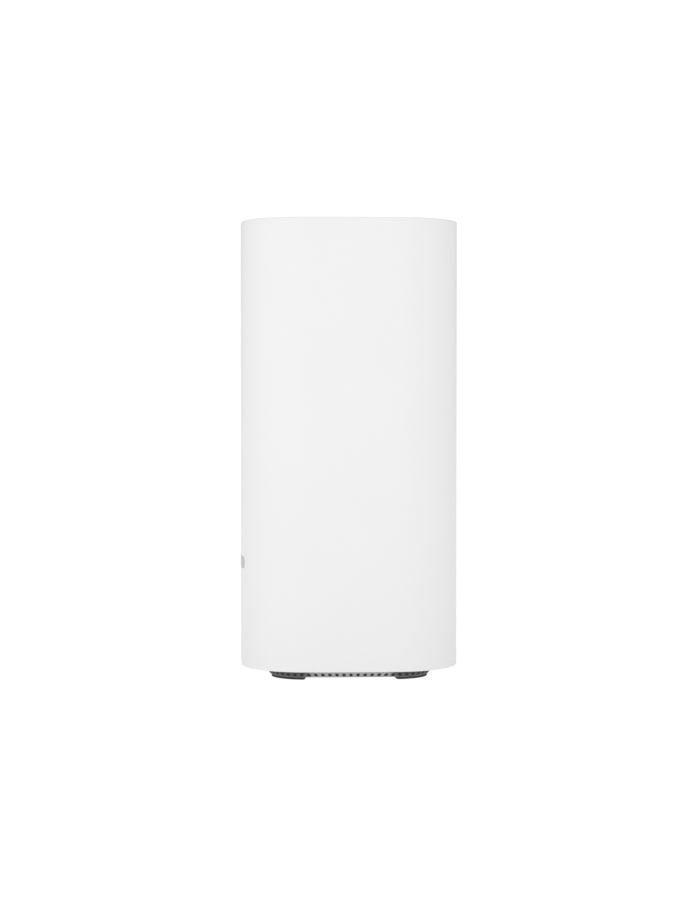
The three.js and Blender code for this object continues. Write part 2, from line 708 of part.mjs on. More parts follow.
function atBoardScrews(visit) {
  [-RAIL_CENTRE_X, RAIL_CENTRE_X].forEach((x, column) => {
    BOARD_SCREW_Z.forEach((z, row) => visit(x, z, 1 + row + 2 * column));
  });
}

function mainBoard() {
  let solid = solidOf(block(
    [-BOARD_HALF_WIDTH, BOARD_HALF_WIDTH],
    [BOARD_FRONT, BOARD_BACK],
    [BOARD_BOTTOM, BOARD_TOP],
  ));
  atBoardScrews((x, z) => {
    solid = solid.subtract(solidOf(rodY(1.9, x, z, BOARD_FRONT - 1, BOARD_BACK + 1, 12)));
  });
  add('main_board', solid, 'circuit_board');
}

function boardScrews() {
  const headHeight = 1.7;
  atBoardScrews((x, z, number) => {
    const mesh = screw(`board_screw_${number}`, 2.8, headHeight, 10);
    mesh.position.set(x, BOARD_BACK + TOUCH + headHeight, z);
    mesh.rotation.x = QUARTER_TURN;
  });
}

// A flat part on the front face of the board.
function frontPart(name, x, z, width, height, thickness, finish) {
  const face = BOARD_FRONT - TOUCH;
  add(name, block(around(x, width), [face - thickness, face], around(z, height)), finish);
}

const PROCESSOR = { z: 146, size: 22, thickness: 1.5 };
const PAD_THICKNESS = 0.9;

function frontParts() {
  const { z, size, thickness } = PROCESSOR;
  frontPart('main_processor', 0, z, size, size, thickness, 'chip_black');
  frontPart('memory_chip_1', -22, z, 10, 14, 1.1, 'chip_black');
  frontPart('memory_chip_2', 22, z, 10, 14, 1.1, 'chip_black');
  frontPart('radio_shield_1', -17.5, 92, 32, 28, 3.2, 'steel');
  frontPart('radio_shield_2', 17.5, 92, 32, 28, 3.2, 'steel');
  frontPart('radio_shield_3', 0, 50, 42, 30, 3.2, 'steel');
}

// A finned block drawn in plan, with its base on the y = 0 line and its fins towards +Y.
function finnedShape(halfWidth, base, finLength, fins) {
  const finWidth = 1.4;
  const pitch = (2 * halfWidth - finWidth) / (fins - 1);
  const points = [new THREE.Vector2(-halfWidth, 0), new THREE.Vector2(halfWidth, 0)];
  for (let fin = fins - 1; fin >= 0; fin -= 1) {
    const left = -halfWidth + fin * pitch;
    const right = left + finWidth;
    if (fin < fins - 1) points.push(new THREE.Vector2(right, base));
    points.push(new THREE.Vector2(right, base + finLength), new THREE.Vector2(left, base + finLength));
    if (fin > 0) points.push(new THREE.Vector2(left, base));
  }
  return new THREE.Shape(points);
}

function coolers() {
  const padFront = BOARD_FRONT - TOUCH - PROCESSOR.thickness - TOUCH;
  const frontBase = padFront - PAD_THICKNESS - TOUCH;
  add('thermal_pad_front', block(
    around(0, PROCESSOR.size - 2),
    [padFront - PAD_THICKNESS, padFront],
    around(PROCESSOR.z, PROCESSOR.size - 2),
  ), 'thermal_rubber');
  const front = add('front_heatsink', prism(finnedShape(33, 2.2, 19, 9), 112, 178), 'aluminium');
  front.position.y = frontBase;
  front.rotation.z = Math.PI;

  const padBack = BOARD_BACK + TOUCH + 2 * PAD_THICKNESS;
  const rearPad = block(around(0, 40), [BOARD_BACK + TOUCH, padBack], around(142, 60));
  add('thermal_pad_rear', rearPad, 'thermal_rubber');
  const rear = add('rear_heatsink', prism(finnedShape(30, 2, 12, 9), 106, 178), 'aluminium');
  rear.position.y = padBack + TOUCH;
}

// ---------------------------------------------------------------- inner frame and antennas
const RESET_GUIDE = RESET.stemRadius + 0.4;

function innerFrame() {
  const depth = [RAIL_FRONT, RAIL_BACK];
  const rails = [-RAIL_CENTRE_X, RAIL_CENTRE_X].map(
    (x) => solidOf(block(around(x, RAIL_WIDTH), depth, [RAIL_BOTTOM, BOARD_TOP])),
  );
  const span = [-RAIL_CENTRE_X, RAIL_CENTRE_X];
  let solid = join(
    ...rails,
    solidOf(block(span, depth, [CROSS_BOTTOM, CROSS_BOTTOM + 5])),
    solidOf(block(span, depth, [BOARD_TOP - 6, BOARD_TOP])),
  );
  atBoardScrews((x, z) => {
    solid = solid.subtract(solidOf(rodY(SCREW_BORE, x, z, RAIL_FRONT - 1, RAIL_BACK + 1, 12)));
  });
  const guide = rodZ(RESET_GUIDE, RESET.x, RESET.y, CROSS_BOTTOM - 1, CROSS_BOTTOM + 6, 12);
  add('inner_frame', solid.subtract(solidOf(guide)), 'frame_plastic');
}

const CARRIER = { outer: 8, inner: 14, holderHeight: 11 };
// The antennas stand over the middle of the carrier's corners.
const ANTENNA_OFFSET =
  CORNER_CENTRE + (CORNER_RADIUS - (CARRIER.outer + CARRIER.inner) / 2) * Math.SQRT1_2;
const ANTENNA = { width: 14, thickness: 1, height: 32 };

// Moves a piece drawn about the +X axis out to one corner, turned so that +X points along the diagonal.
function toCorner(geometry, x, y) {
  return geometry.rotateZ(Math.atan2(y, x)).translate(x, y, 0);
}

function antennaCarrier() {
  const ring = cut(
    solidOf(prism(outline(CARRIER.outer), CARRIER_BOTTOM, CARRIER_TOP)),
    solidOf(prism(outline(CARRIER.inner), CARRIER_BOTTOM - 1, CARRIER_TOP + 1)),
  );
  const arms = [-1, 1].map((side) => solidOf(block(
    around(side * (RAIL_CENTRE_X + 1.5), 10),
    [RAIL_FRONT, RAIL_BACK],
    [CARRIER_BOTTOM, CARRIER_TOP],
  )));
  let solid = join(ring, ...arms);
  atFourCorners(ANTENNA_OFFSET, ANTENNA_OFFSET, (name, x, y) => {
    const holder = block([-2.6, -0.6], around(0, 9), [CARRIER_TOP - 0.5, CARRIER_TOP + CARRIER.holderHeight]);
    solid = solid.add(solidOf(toCorner(holder, x, y)));
  });
  add('antenna_carrier', solid, 'frame_plastic');
}

function antennas() {
  atFourCorners(ANTENNA_OFFSET, ANTENNA_OFFSET, (name, x, y) => {
    const plate = block(
      around(0, ANTENNA.thickness),
      around(0, ANTENNA.width),
      [CARRIER_TOP + TOUCH, CARRIER_TOP + ANTENNA.height],
    );
    add(`antenna_${name}`, toCorner(plate, x, y), 'brass');

    const side = Math.sign(x);
    const start = 0.91 * x;
    const landing = y > 0 ? 27 : 16;
    const stops = [
      [start, 0.91 * y, CARRIER_TOP + 7],
      [0.8 * x, 0.72 * y, CARRIER_TOP + 10],
      [side * landing, BOARD_FRONT + (y > 0 ? 9 : -6), BOARD_TOP + 9],
      [side * landing, BOARD_BACK + 3, BOARD_TOP + 4],
      [side * landing, BOARD_BACK + 1, BOARD_TOP - 4],
    ];
    add(`antenna_cable_${name}`, cable(0.6, stops), 'cable_jacket');
  });
}

// ---------------------------------------------------------------- the whole tower
outerHousing();
frontNameplate();
topGrille();
statusLight();
baseTray();
baseScrews();
feet();
ratingPlate();
portPanel();
networkJacks();
usbPort();
powerInlet();
powerSwitch();
powerRocker();
pairingButton();
resetButton();
mainBoard();
boardScrews();
frontParts();
coolers();
innerFrame();
antennaCarrier();
antennas();

export default tower;
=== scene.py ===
"""Looks of a mesh wifi node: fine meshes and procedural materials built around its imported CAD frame.

Everything is in the frame of the CAD model, in metres: +Z up, the front at -Y, the sockets at +Y.
An outline is a list of points in a plane. One whose edges get rounded or chamfered is a function
instead, which gives the points for how far its edge moves outwards.
"""

import json
import math

import bmesh
import bpy
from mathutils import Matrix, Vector


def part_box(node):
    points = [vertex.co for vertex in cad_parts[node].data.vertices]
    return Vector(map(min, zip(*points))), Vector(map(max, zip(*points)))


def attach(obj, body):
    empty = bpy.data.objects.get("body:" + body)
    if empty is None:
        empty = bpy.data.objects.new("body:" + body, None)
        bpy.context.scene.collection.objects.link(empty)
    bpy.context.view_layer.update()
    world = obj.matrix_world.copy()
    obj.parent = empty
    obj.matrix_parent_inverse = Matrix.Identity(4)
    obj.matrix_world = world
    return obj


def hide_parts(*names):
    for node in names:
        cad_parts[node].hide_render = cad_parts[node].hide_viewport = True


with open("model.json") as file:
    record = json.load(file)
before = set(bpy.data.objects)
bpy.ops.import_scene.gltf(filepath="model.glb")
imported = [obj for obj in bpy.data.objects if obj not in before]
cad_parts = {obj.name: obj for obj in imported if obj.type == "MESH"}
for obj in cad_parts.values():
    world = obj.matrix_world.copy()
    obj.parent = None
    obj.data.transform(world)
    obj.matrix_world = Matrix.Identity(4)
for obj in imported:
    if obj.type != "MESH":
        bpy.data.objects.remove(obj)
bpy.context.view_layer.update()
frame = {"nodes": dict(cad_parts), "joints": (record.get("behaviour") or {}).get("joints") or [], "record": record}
ROOT = "tower"
SLOTS = {row["node"]: row["material_slot"] for row in frame["record"]["subparts"]}
MM = 0.001
QUARTER = math.pi / 2
EDGE_ANGLES = (0.0, 0.5, 1.0, QUARTER)

# ---- sizes taken from the frame
HOUSING_LOW, HOUSING_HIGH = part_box("outer_housing")
TRAY_LOW, TRAY_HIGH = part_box("base_tray")
LABEL_LOW, LABEL_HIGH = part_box("rating_plate")
GRILLE_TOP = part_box("top_grille")[1].z

TOP = HOUSING_HIGH.z
HOUSING_BOTTOM = HOUSING_LOW.z
TRAY_BOTTOM = TRAY_LOW.z

# ---- shapes that a box can't tell
CORNER_RADIUS = 34 * MM
CROWN_RADIUS = 500 * MM
WALL = 2.4 * MM
HOUSING_EDGE = 1.0 * MM
HOUSING_LIP = 0.4 * MM
RIM_EDGE = 0.6 * MM
MOUTH_INSET = 6 * MM
LEDGE_INSET = 7.5 * MM
COLLAR_BOTTOM = 229 * MM
GRILLE_BOTTOM = GRILLE_TOP - 2.4 * MM
GAP = 0.3 * MM
FLOOR = 2 * MM
SLOT_HALF = 1.7 * MM / 2
SLOT_CORNER = 0.45 * MM

CROWN_OFFSET = CROWN_RADIUS - HOUSING_HIGH.x
CORNER_CENTRE = (math.sqrt(2 * (CROWN_RADIUS - CORNER_RADIUS) ** 2 - CROWN_OFFSET**2) - CROWN_OFFSET) / 2
SIDE_REACH = math.atan2(CORNER_CENTRE, CORNER_CENTRE + CROWN_OFFSET)


# ---- the tower's plan outline
def spread(low, high, steps):
    """Evenly spaced values from low up to, but without, high."""
    return [low + (high - low) * i / steps for i in range(steps)]


def quarter_turn(steps):
    """Evenly spaced angles from 0 to a quarter turn, with both ends."""
    return spread(0, QUARTER, steps) + [QUARTER]


def rounding(radius, angles):
    """An edge's rounding as (left to go outwards, gone upwards), for angles from 0 to a quarter turn."""
    return [(radius * (1 - math.sin(a)), radius * (1 - math.cos(a))) for a in angles]


def plan_columns(side_angles, corner_steps):
    """The outline's columns as (centre x, centre y, radius, angle), counter-clockwise from the +X side.

    side_angles gives, for each side, the angles of its columns on the crown arc, from one end to the other.
    """
    columns = []
    for side in range(4):
        turn = side * QUARTER
        centre = (-CROWN_OFFSET * math.cos(turn), -CROWN_OFFSET * math.sin(turn))
        for angle in side_angles[side]:
            columns.append((*centre, CROWN_RADIUS, turn + angle))
        diagonal = turn + QUARTER / 2
        reach = CORNER_CENTRE * math.sqrt(2)
        centre = (reach * math.cos(diagonal), reach * math.sin(diagonal))
        for angle in spread(SIDE_REACH, QUARTER - SIDE_REACH, corner_steps):
            columns.append((*centre, CORNER_RADIUS, turn + angle))
    return columns


def column_point(column, inset):
    x, y, radius, angle = column
    return (x + (radius - inset) * math.cos(angle), y + (radius - inset) * math.sin(angle))


def even_sides(steps):
    return [spread(-SIDE_REACH, SIDE_REACH, steps)] * 4


PLAN_COLUMNS = plan_columns(even_sides(10), 20)


def outline(inset):
    """The tower's plan, moved inwards by inset."""
    return [column_point(column, inset) for column in PLAN_COLUMNS]


def surface_y(x, inset=0.0):
    """How far from the axis the front or rear face lies at a given x, moved inwards by inset."""
    x = abs(x)
    crown = CROWN_RADIUS - inset
    if x <= crown * math.sin(SIDE_REACH):
        return math.sqrt(crown**2 - x**2) - CROWN_OFFSET
    return CORNER_CENTRE + math.sqrt((CORNER_RADIUS - inset) ** 2 - (x - CORNER_CENTRE) ** 2)


def inset_at(x, y):
    """How far inside the tower's outline a point of the plan lies."""
    x, y = max(abs(x), abs(y)), min(abs(x), abs(y))
    if math.atan2(y - CORNER_CENTRE, x - CORNER_CENTRE) > SIDE_REACH:
        return CORNER_RADIUS - math.hypot(x - CORNER_CENTRE, y - CORNER_CENTRE)
    return CROWN_RADIUS - math.hypot(x + CROWN_OFFSET, y)


def ray_reach(angle, inset):
    """Distance from the axis to the outline, moved inwards by inset, in a given direction."""
    folded = abs((angle + QUARTER / 2) % QUARTER - QUARTER / 2)
    x, y = math.cos(folded), math.sin(folded)
    crown = CROWN_RADIUS - inset
    reach = math.sqrt(crown**2 - (CROWN_OFFSET * y) ** 2) - CROWN_OFFSET * x
    if reach * y <= crown * math.sin(SIDE_REACH):
        return reach
    along = CORNER_CENTRE * (x + y)
    return along + math.sqrt(along**2 - 2 * CORNER_CENTRE**2 + (CORNER_RADIUS - inset) ** 2)


# ---- small outlines
def rounded_rectangle(half_width, half_height, radius, corner_steps, side_steps=1):
    """Counter-clockwise points from the right end of the lower side, straight stretches cut in side_steps."""
    x, y = half_width - radius, half_height - radius
    corners = [(x, -y), (x, y), (-x, y), (-x, -y)]
    points = []
    for index, corner in enumerate(corners):
        for step in range(corner_steps + 1):
            angle = (index - 1) * QUARTER + QUARTER * step / corner_steps
            across, up = radius * math.cos(angle), radius * math.sin(angle)
            points.append((corner[0] + across, corner[1] + up))
        after = corners[(index + 1) % 4]
        end = (after[0] + across, after[1] + up)
        start = points[-1]
        for step in range(1, side_steps):
            points.append(tuple(p + (q - p) * (step / side_steps) for p, q in zip(start, end)))
    return points


def circle(radius, steps, centre=(0.0, 0.0)):
    x, y = centre
    return [(x + radius * math.cos(a), y + radius * math.sin(a)) for a in spread(0, 4 * QUARTER, steps)]


def box_outline(half_width, half_height, radius, centre, corner_steps, side_steps=1):
    """A rounded rectangle whose edge can move."""

    def at(grow=0.0):
        corner = max(radius + grow, 0.02 * MM)
        points = rounded_rectangle(half_width + grow, half_height + grow, corner, corner_steps, side_steps)
        return [(centre[0] + x, centre[1] + y) for x, y in points]

    return at


def disc_outline(radius, centre, steps=40):
    return lambda grow=0.0: circle(radius + grow, steps, centre)


def polygon_outline(corners):
    """A counter-clockwise polygon of right angles whose edge can move."""

    def at(grow=0.0):
        points = []
        for i, (x, z) in enumerate(corners):
            before, after = corners[i - 1], corners[(i + 1) % len(corners)]
            side_x = math.copysign(1, after[1] - before[1])
            side_z = math.copysign(1, before[0] - after[0])
            points.append((x + grow * side_x, z + grow * side_z))
        return points

    return at


def rear_view(node):
    """A node's box seen from the rear: centre and half size in x and z, then its back and its front in y."""
    low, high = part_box(node)
    centre = ((low.x + high.x) / 2, (low.z + high.z) / 2)
    return centre, ((high.x - low.x) / 2, (high.z - low.z) / 2), low.y, high.y


def top_view(node):
    """A node's box seen from above: its centre in x and y, then its lowest and highest z."""
    low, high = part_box(node)
    return ((low.x + high.x) / 2, (low.y + high.y) / 2), low.z, high.z


def node_outline(node, clearance, radius, corner_steps=3):
    """The outline of a node's box seen from the rear, grown by a clearance."""
    centre, half, _, _ = rear_view(node)
    return box_outline(half[0] + clearance, half[1] + clearance, radius, centre, corner_steps)


# ---- mesh building blocks
def flat_plan(x, y, height):
    return (x, y, height)


def facing_rear(x, z, depth):
    return (x, depth, z)


def on_rear_face(x, z, inset):
    return (x, surface_y(x, inset), z)


def level(bm, points, height, place=flat_plan):
    """A ring of vertices at one height over the plane of the points."""
    return [bm.verts.new(place(*point, height)) for point in points]


def skin(bm, first, second, skip=()):
    """Quads between two closed rings of equal length."""
    count = len(first)
    for i in range(count):
        if i not in skip:
            j = (i + 1) % count
            bm.faces.new((first[i], first[j], second[j], second[i]))


def skins(bm, rings):
    for first, second in zip(rings, rings[1:]):
        skin(bm, first, second)


def wall(bm, shape, steps, place=flat_plan):
    """Side faces along an outline function, through (outward move, height) steps; gives its rings."""
    rings = [level(bm, shape(grow), height, place) for grow, height in steps]
    skins(bm, rings)
    return rings


def fill(bm, rings):
    """A flat face inside the first ring, with the other rings as its holes."""
    edges = []
    for loop in rings:
        for i, vert in enumerate(loop):
            after = loop[(i + 1) % len(loop)]
            edges.append(bm.edges.get((vert, after)) or bm.edges.new((vert, after)))
    bmesh.ops.triangle_fill(bm, use_beauty=True, use_dissolve=False, edges=edges)


def close(bm, walls):
    """Flat faces over both ends of an outer wall, with the other walls as holes through them."""
    for end in (0, -1):
        fill(bm, [rings[end] for rings in walls])


def plate(bm, outer, holes, low, high, edge, place=flat_plan):
    """A plate between two heights with rounded edges, from outline functions."""
    lower = [(draw, low + rise) for draw, rise in rounding(edge, quarter_turn(3))]
    steps = lower + [(draw, low + high - height) for draw, height in reversed(lower)]
    walls = [wall(bm, outer, [(-draw, height) for draw, height in steps], place)]
    walls += [wall(bm, hole, steps, place) for hole in holes]
    close(bm, walls)


def turned(bm, profile, steps, place):
    """A body of revolution from (radius, height) pairs between its first and last point on the axis."""
    rings = [level(bm, circle(radius, steps), height, place) for radius, height in profile if radius > 0]
    skins(bm, rings)
    close(bm, [rings])


def along_y(centre):
    """Places a turned body with its axis along Y."""
    return lambda x, z, height: (centre[0] + x, height, centre[1] + z)


def along_z(centre):
    return lambda x, y, height: (centre[0] + x, centre[1] + y, height)


def rounded_profile(corners, radius, steps=4):
    """Corner points of a turned profile with its inner corners rounded off."""
    points = [corners[0]]
    for before, corner, after in zip(corners, corners[1:], corners[2:]):
        corner = Vector(corner)
        to_before, to_after = Vector(before) - corner, Vector(after) - corner
        reach = min(radius, 0.45 * to_before.length, 0.45 * to_after.length)
        start = corner + to_before.normalized() * reach
        end = corner + to_after.normalized() * reach
        for i in range(steps + 1):
            t = i / steps
            points.append(tuple(start * (1 - t) ** 2 + corner * 2 * t * (1 - t) + end * t**2))
    return points + [corners[-1]]


def finish_mesh(name, bm, node=None, body=ROOT, slot=None, look=None, smooth_angle=35):
    """Turns a bmesh into a named piece that rides on a CAD body, and stands for a CAD node if one is given.

    The slot is the node's own unless it is given, and the material is the slot's unless look names one.
    """
    slot = slot or SLOTS[node]
    bmesh.ops.remove_doubles(bm, verts=bm.verts, dist=1e-7)
    bmesh.ops.delete(bm, geom=[vert for vert in bm.verts if not vert.link_faces], context="VERTS")
    bmesh.ops.recalc_face_normals(bm, faces=bm.faces)
    mesh = bpy.data.meshes.new(name)
    bm.to_mesh(mesh)
    bm.free()
    mesh.shade_smooth()
    mesh.set_sharp_from_angle(angle=math.radians(smooth_angle))
    piece = bpy.data.objects.new(name, mesh)
    bpy.context.scene.collection.objects.link(piece)
    mesh.materials.append(MATERIALS[look or slot])
    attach(piece, body)
    if node:
        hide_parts(node)
    return piece


# ---- material nodes
class Nodes:
    """A short way to write a node tree: each call adds a node and links its inputs."""

    def __init__(self, owner=None, output="ShaderNodeOutputMaterial"):
        self.owner = owner or bpy.data.materials.new("material")
        self.owner.use_nodes = True
        self.tree = self.owner.node_tree
        self.tree.nodes.clear()
        self.output = self.tree.nodes.new(output)
        self.place = self.tree.nodes.new("ShaderNodeTexCoord").outputs["Object"]

    def put(self, value, socket):
        """Links an input to another node's output, or sets it to a value."""
        if isinstance(value, bpy.types.NodeSocket):
            self.tree.links.new(value, socket)
        else:
            socket.default_value = value

    def add(self, kind, settings=None, **inputs):
        node = self.tree.nodes.new(kind)
        for key, value in (settings or {}).items():
            setattr(node, key, value)
        for key, value in inputs.items():
            self.put(value, node.inputs[key.replace("_", " ")])
        return node

    def noise(self, scale, detail=2.0, roughness=0.5, place=None):
        place = place or self.place
        node = self.add("ShaderNodeTexNoise", Vector=place, Scale=scale, Detail=detail, Roughness=roughness)
        return node.outputs["Fac"]

    def cells(self, scale):
        return self.add("ShaderNodeTexVoronoi", Vector=self.place, Scale=scale).outputs["Distance"]

    def ramp(self, value, start, end, low=0.0, high=1.0, kind="SMOOTHSTEP"):
        """Goes from low to high as the value goes from start to end."""
        limits = {"From_Min": start, "From_Max": end, "To_Min": low, "To_Max": high}
        node = self.add("ShaderNodeMapRange", {"interpolation_type": kind}, Value=value, **limits)
        return node.outputs["Result"]

    def span(self, noise, low=0.0, high=1.0):
        """Maps noise, which mostly lies between 0.3 and 0.7, to a range."""
        return self.ramp(noise, 0.3, 0.7, low, high, "LINEAR")

    def blend_colours(self, share, first, second):
        node = self.add("ShaderNodeMix", {"data_type": "RGBA"}, Factor=share)
        for value, socket in ((first, node.inputs[6]), (second, node.inputs[7])):
            self.put(value if isinstance(value, bpy.types.NodeSocket) else (*value, 1.0), socket)
        return node.outputs[2]

    def mottled(self, noise, colour, dark, light):
        """The colour, darkened where the noise is low and lightened where it is high."""
        return self.blend_colours(self.span(noise), shade(colour, dark), shade(colour, light))

    def math(self, operation, first, second):
        node = self.add("ShaderNodeMath", {"operation": operation})
        self.put(first, node.inputs[0])
        self.put(second, node.inputs[1])
        return node.outputs[0]

    def bump(self, height, distance, strength=1.0):
        node = self.add("ShaderNodeBump", Height=height, Distance=distance, Strength=strength)
        return node.outputs["Normal"]

    def surface(self, **inputs):
        shader = self.add("ShaderNodeBsdfPrincipled", **inputs)
        self.tree.links.new(shader.outputs["BSDF"], self.output.inputs["Surface"])
        return self.owner

    def mixed_surface(self, share, first, second):
        """Mixes two shader nodes into the output."""
        mix = self.add("ShaderNodeMixShader")
        self.put(share, mix.inputs[0])
        self.tree.links.new(first.outputs[0], mix.inputs[1])
        self.tree.links.new(second.outputs[0], mix.inputs[2])
        self.tree.links.new(mix.outputs[0], self.output.inputs["Surface"])
        return self.owner


def shade(colour, factor):
    return tuple(min(1.0, c * factor) for c in colour)


# Noise scales, in features per metre, from clouds over a whole face down to the grain of a mould.
DRIFT = 18.0
SHEEN = 60.0
MOTTLE = 420.0
FINE_GRAIN = 2600.0
GRAIN = 1900.0
COARSE_GRAIN = 1700.0
PLASTIC_IOR = 1.46


def moulded_plastic(colour, roughness, grain=FINE_GRAIN, depth=0.004, variation=0.03):
    """Moulded plastic: a fine even grain, with slow drifts of colour and of gloss."""
    nodes = Nodes()
    drift = nodes.mottled(nodes.noise(DRIFT, 3.0), colour, 1 - variation, 1 + variation)
    specks = nodes.span(nodes.noise(MOTTLE), 0.0, 0.5)
    tint = nodes.blend_colours(specks, drift, shade(colour, 1 - 2 * variation))
    gloss = nodes.span(nodes.noise(SHEEN, 4.0), roughness * 0.9, roughness * 1.1)
    grained = nodes.bump(nodes.noise(grain), depth * MM)
    return nodes.surface(Base_Color=tint, Roughness=gloss, Normal=grained, IOR=PLASTIC_IOR)


# Painted shade on the skirt's slope near the feet: how dark it is, where it starts and ends, and its fade at the
# slope's ends.
FOOT_SHADE = 0.2
FOOT_SHADE_START = 18 * MM
FOOT_SHADE_END = 25 * MM
SHADE_FADE = 0.4 * MM


def skirt_plastic_painted_shade(colour, roughness):
    """Textured plastic; painted shade darkens its slope towards the corners, where the feet shut out the table's
    light.
    """
    nodes = Nodes()
    split = nodes.add("ShaderNodeSeparateXYZ", Vector=nodes.place).outputs
    distances = [nodes.math("ABSOLUTE", split[axis], 0.0) for axis in "XY"]
    # Mask of the painted shade: near the corners, and only on the slope between the floor and the housing's lower
    # edge.
    by_foot = nodes.ramp(nodes.math("MINIMUM", *distances), FOOT_SHADE_START, FOOT_SHADE_END)
    over_floor = nodes.ramp(split["Z"], TRAY_BOTTOM, TRAY_BOTTOM + SHADE_FADE)
    under_fold = nodes.ramp(split["Z"], HOUSING_BOTTOM - SHADE_FADE, HOUSING_BOTTOM, 1.0, 0.0)
    shaded = nodes.math("MULTIPLY", by_foot, nodes.math("MULTIPLY", over_floor, under_fold))
    plain = nodes.mottled(nodes.noise(MOTTLE), colour, 0.95, 1.05)
    tint = nodes.blend_colours(shaded, plain, shade(colour, FOOT_SHADE))
    grained = nodes.bump(nodes.noise(GRAIN), 0.008 * MM)
    return nodes.surface(Base_Color=tint, Roughness=roughness, Normal=grained, IOR=PLASTIC_IOR)


def soft_rubber(colour):
    """Soft rubber: open pores, dusty high spots and almost no gloss."""
    nodes = Nodes()
    dusty = nodes.mottled(nodes.noise(300.0, 6.0, 0.65), colour, 0.8, 1.35)
    rough = nodes.span(nodes.noise(900.0, 3.0), 0.75, 0.95)
    pores = nodes.bump(nodes.cells(2200.0), 0.02 * MM, 0.6)
    return nodes.surface(Base_Color=dusty, Roughness=rough, Normal=pores, Specular_IOR_Level=0.35)


def metal(colour, roughness):
    """Rolled or drawn metal: fine lines along one direction, and faint stains."""
    nodes = Nodes()
    across_lines = nodes.add("ShaderNodeMapping", Vector=nodes.place, Scale=(40.0, 40.0, 1600.0))
    lines = nodes.noise(1.0, 4.0, 0.6, across_lines.outputs["Vector"])
    stained = nodes.mottled(nodes.noise(90.0, 5.0), colour, 0.9, 1.05)
    rough = nodes.span(lines, roughness * 0.75, roughness * 1.3)
    normal = nodes.bump(lines, 0.01 * MM, 0.5)
    return nodes.surface(Base_Color=stained, Roughness=rough, Normal=normal, Metallic=1.0)


def printed_film(colour, roughness, metallic=0.0):
    """A thin printed or foiled film: nearly flat, with a faint orange-peel."""
    nodes = Nodes()
    printed = nodes.mottled(nodes.noise(700.0, 4.0), colour, 0.96, 1.04)
    rough = nodes.span(nodes.noise(250.0, 3.0), roughness * 0.85, roughness * 1.15)
    normal = nodes.bump(nodes.noise(1400.0), 0.004 * MM)
    return nodes.surface(Base_Color=printed, Roughness=rough, Normal=normal, Metallic=metallic)


def circuit_board():
    """Solder mask over copper: traces on a grid, copper areas and pale pads."""
    nodes = Nodes()
    grid = nodes.add("ShaderNodeTexBrick", Vector=nodes.place, Scale=260.0, Mortar_Size=0.03)
    traces = grid.outputs["Fac"]
    areas = nodes.math("GREATER_THAN", nodes.noise(70.0, 1.0), 0.52)
    pads = nodes.math("LESS_THAN", nodes.cells(320.0), 0.09)
    mask = nodes.blend_colours(areas, (0.008, 0.085, 0.035), (0.012, 0.13, 0.055))
    mask = nodes.blend_colours(traces, mask, (0.03, 0.19, 0.08))
    mask = nodes.blend_colours(pads, mask, (0.62, 0.60, 0.52))
    normal = nodes.bump(nodes.math("ADD", traces, areas), 0.03 * MM, 0.5)
    return nodes.surface(Base_Color=mask, Roughness=0.38, Normal=normal)


def light_guide():
    """Frosted clear plastic with a faint white glow from the lamp behind it."""
    nodes = Nodes()
    frosted = nodes.blend_colours(nodes.span(nodes.noise(900.0, 3.0)), (0.80, 0.86, 0.90), (0.92, 0.96, 1.0))
    normal = nodes.bump(nodes.noise(2000.0), 0.004 * MM)
    glow = {"Emission_Color": (0.80, 0.92, 1.0, 1.0), "Emission_Strength": 0.8}
    return nodes.surface(Base_Color=frosted, Roughness=0.3, Normal=normal, **glow)


MATERIALS = {
    "white_plastic": moulded_plastic((0.86, 0.86, 0.86), 0.48, variation=0.006),
    "grille_plastic": moulded_plastic((0.80, 0.80, 0.80), 0.52, variation=0.008),
    "grey_plastic": moulded_plastic((0.30, 0.30, 0.305), 0.6, GRAIN, 0.008, 0.05),
    # Skirt plastic with painted shade near the feet.
    "skirt_plastic_painted_shade": skirt_plastic_painted_shade((0.38, 0.38, 0.385), 0.6),
    "black_plastic": moulded_plastic((0.018, 0.018, 0.02), 0.5, COARSE_GRAIN, 0.010, 0.12),
    "frame_plastic": moulded_plastic((0.07, 0.075, 0.08), 0.6, 1500.0, 0.010, 0.1),
    "blue_plastic": moulded_plastic((0.03, 0.11, 0.30), 0.5, COARSE_GRAIN, 0.008, 0.08),
    "red_plastic": moulded_plastic((0.38, 0.03, 0.022), 0.5, COARSE_GRAIN, 0.008, 0.06),
    "chip_black": moulded_plastic((0.02, 0.02, 0.022), 0.65, FINE_GRAIN, 0.012, 0.15),
    "soft_rubber": soft_rubber((0.045, 0.045, 0.047)),
    "thermal_rubber": soft_rubber((0.33, 0.45, 0.55)),
    "cable_jacket": soft_rubber((0.02, 0.02, 0.022)),
    "printed_grey": printed_film((0.50, 0.50, 0.51), 0.38, 0.25),
    "label_film": printed_film((0.55, 0.55, 0.56), 0.5),
    "circuit_board": circuit_board(),
    "aluminium": metal((0.70, 0.71, 0.72), 0.38),
    "steel": metal((0.60, 0.61, 0.62), 0.28),
    "brass": metal((0.76, 0.56, 0.25), 0.26),
    "clear_plastic": light_guide(),
}
for name, material in MATERIALS.items():
    material.name = name


def finish_cad_nodes():
    """Every carried-over CAD node takes the procedural material of its slot in the record."""
    for node, slot in SLOTS.items():
        materials = frame["nodes"][node].data.materials
        materials.clear()
        materials.append(MATERIALS[slot])


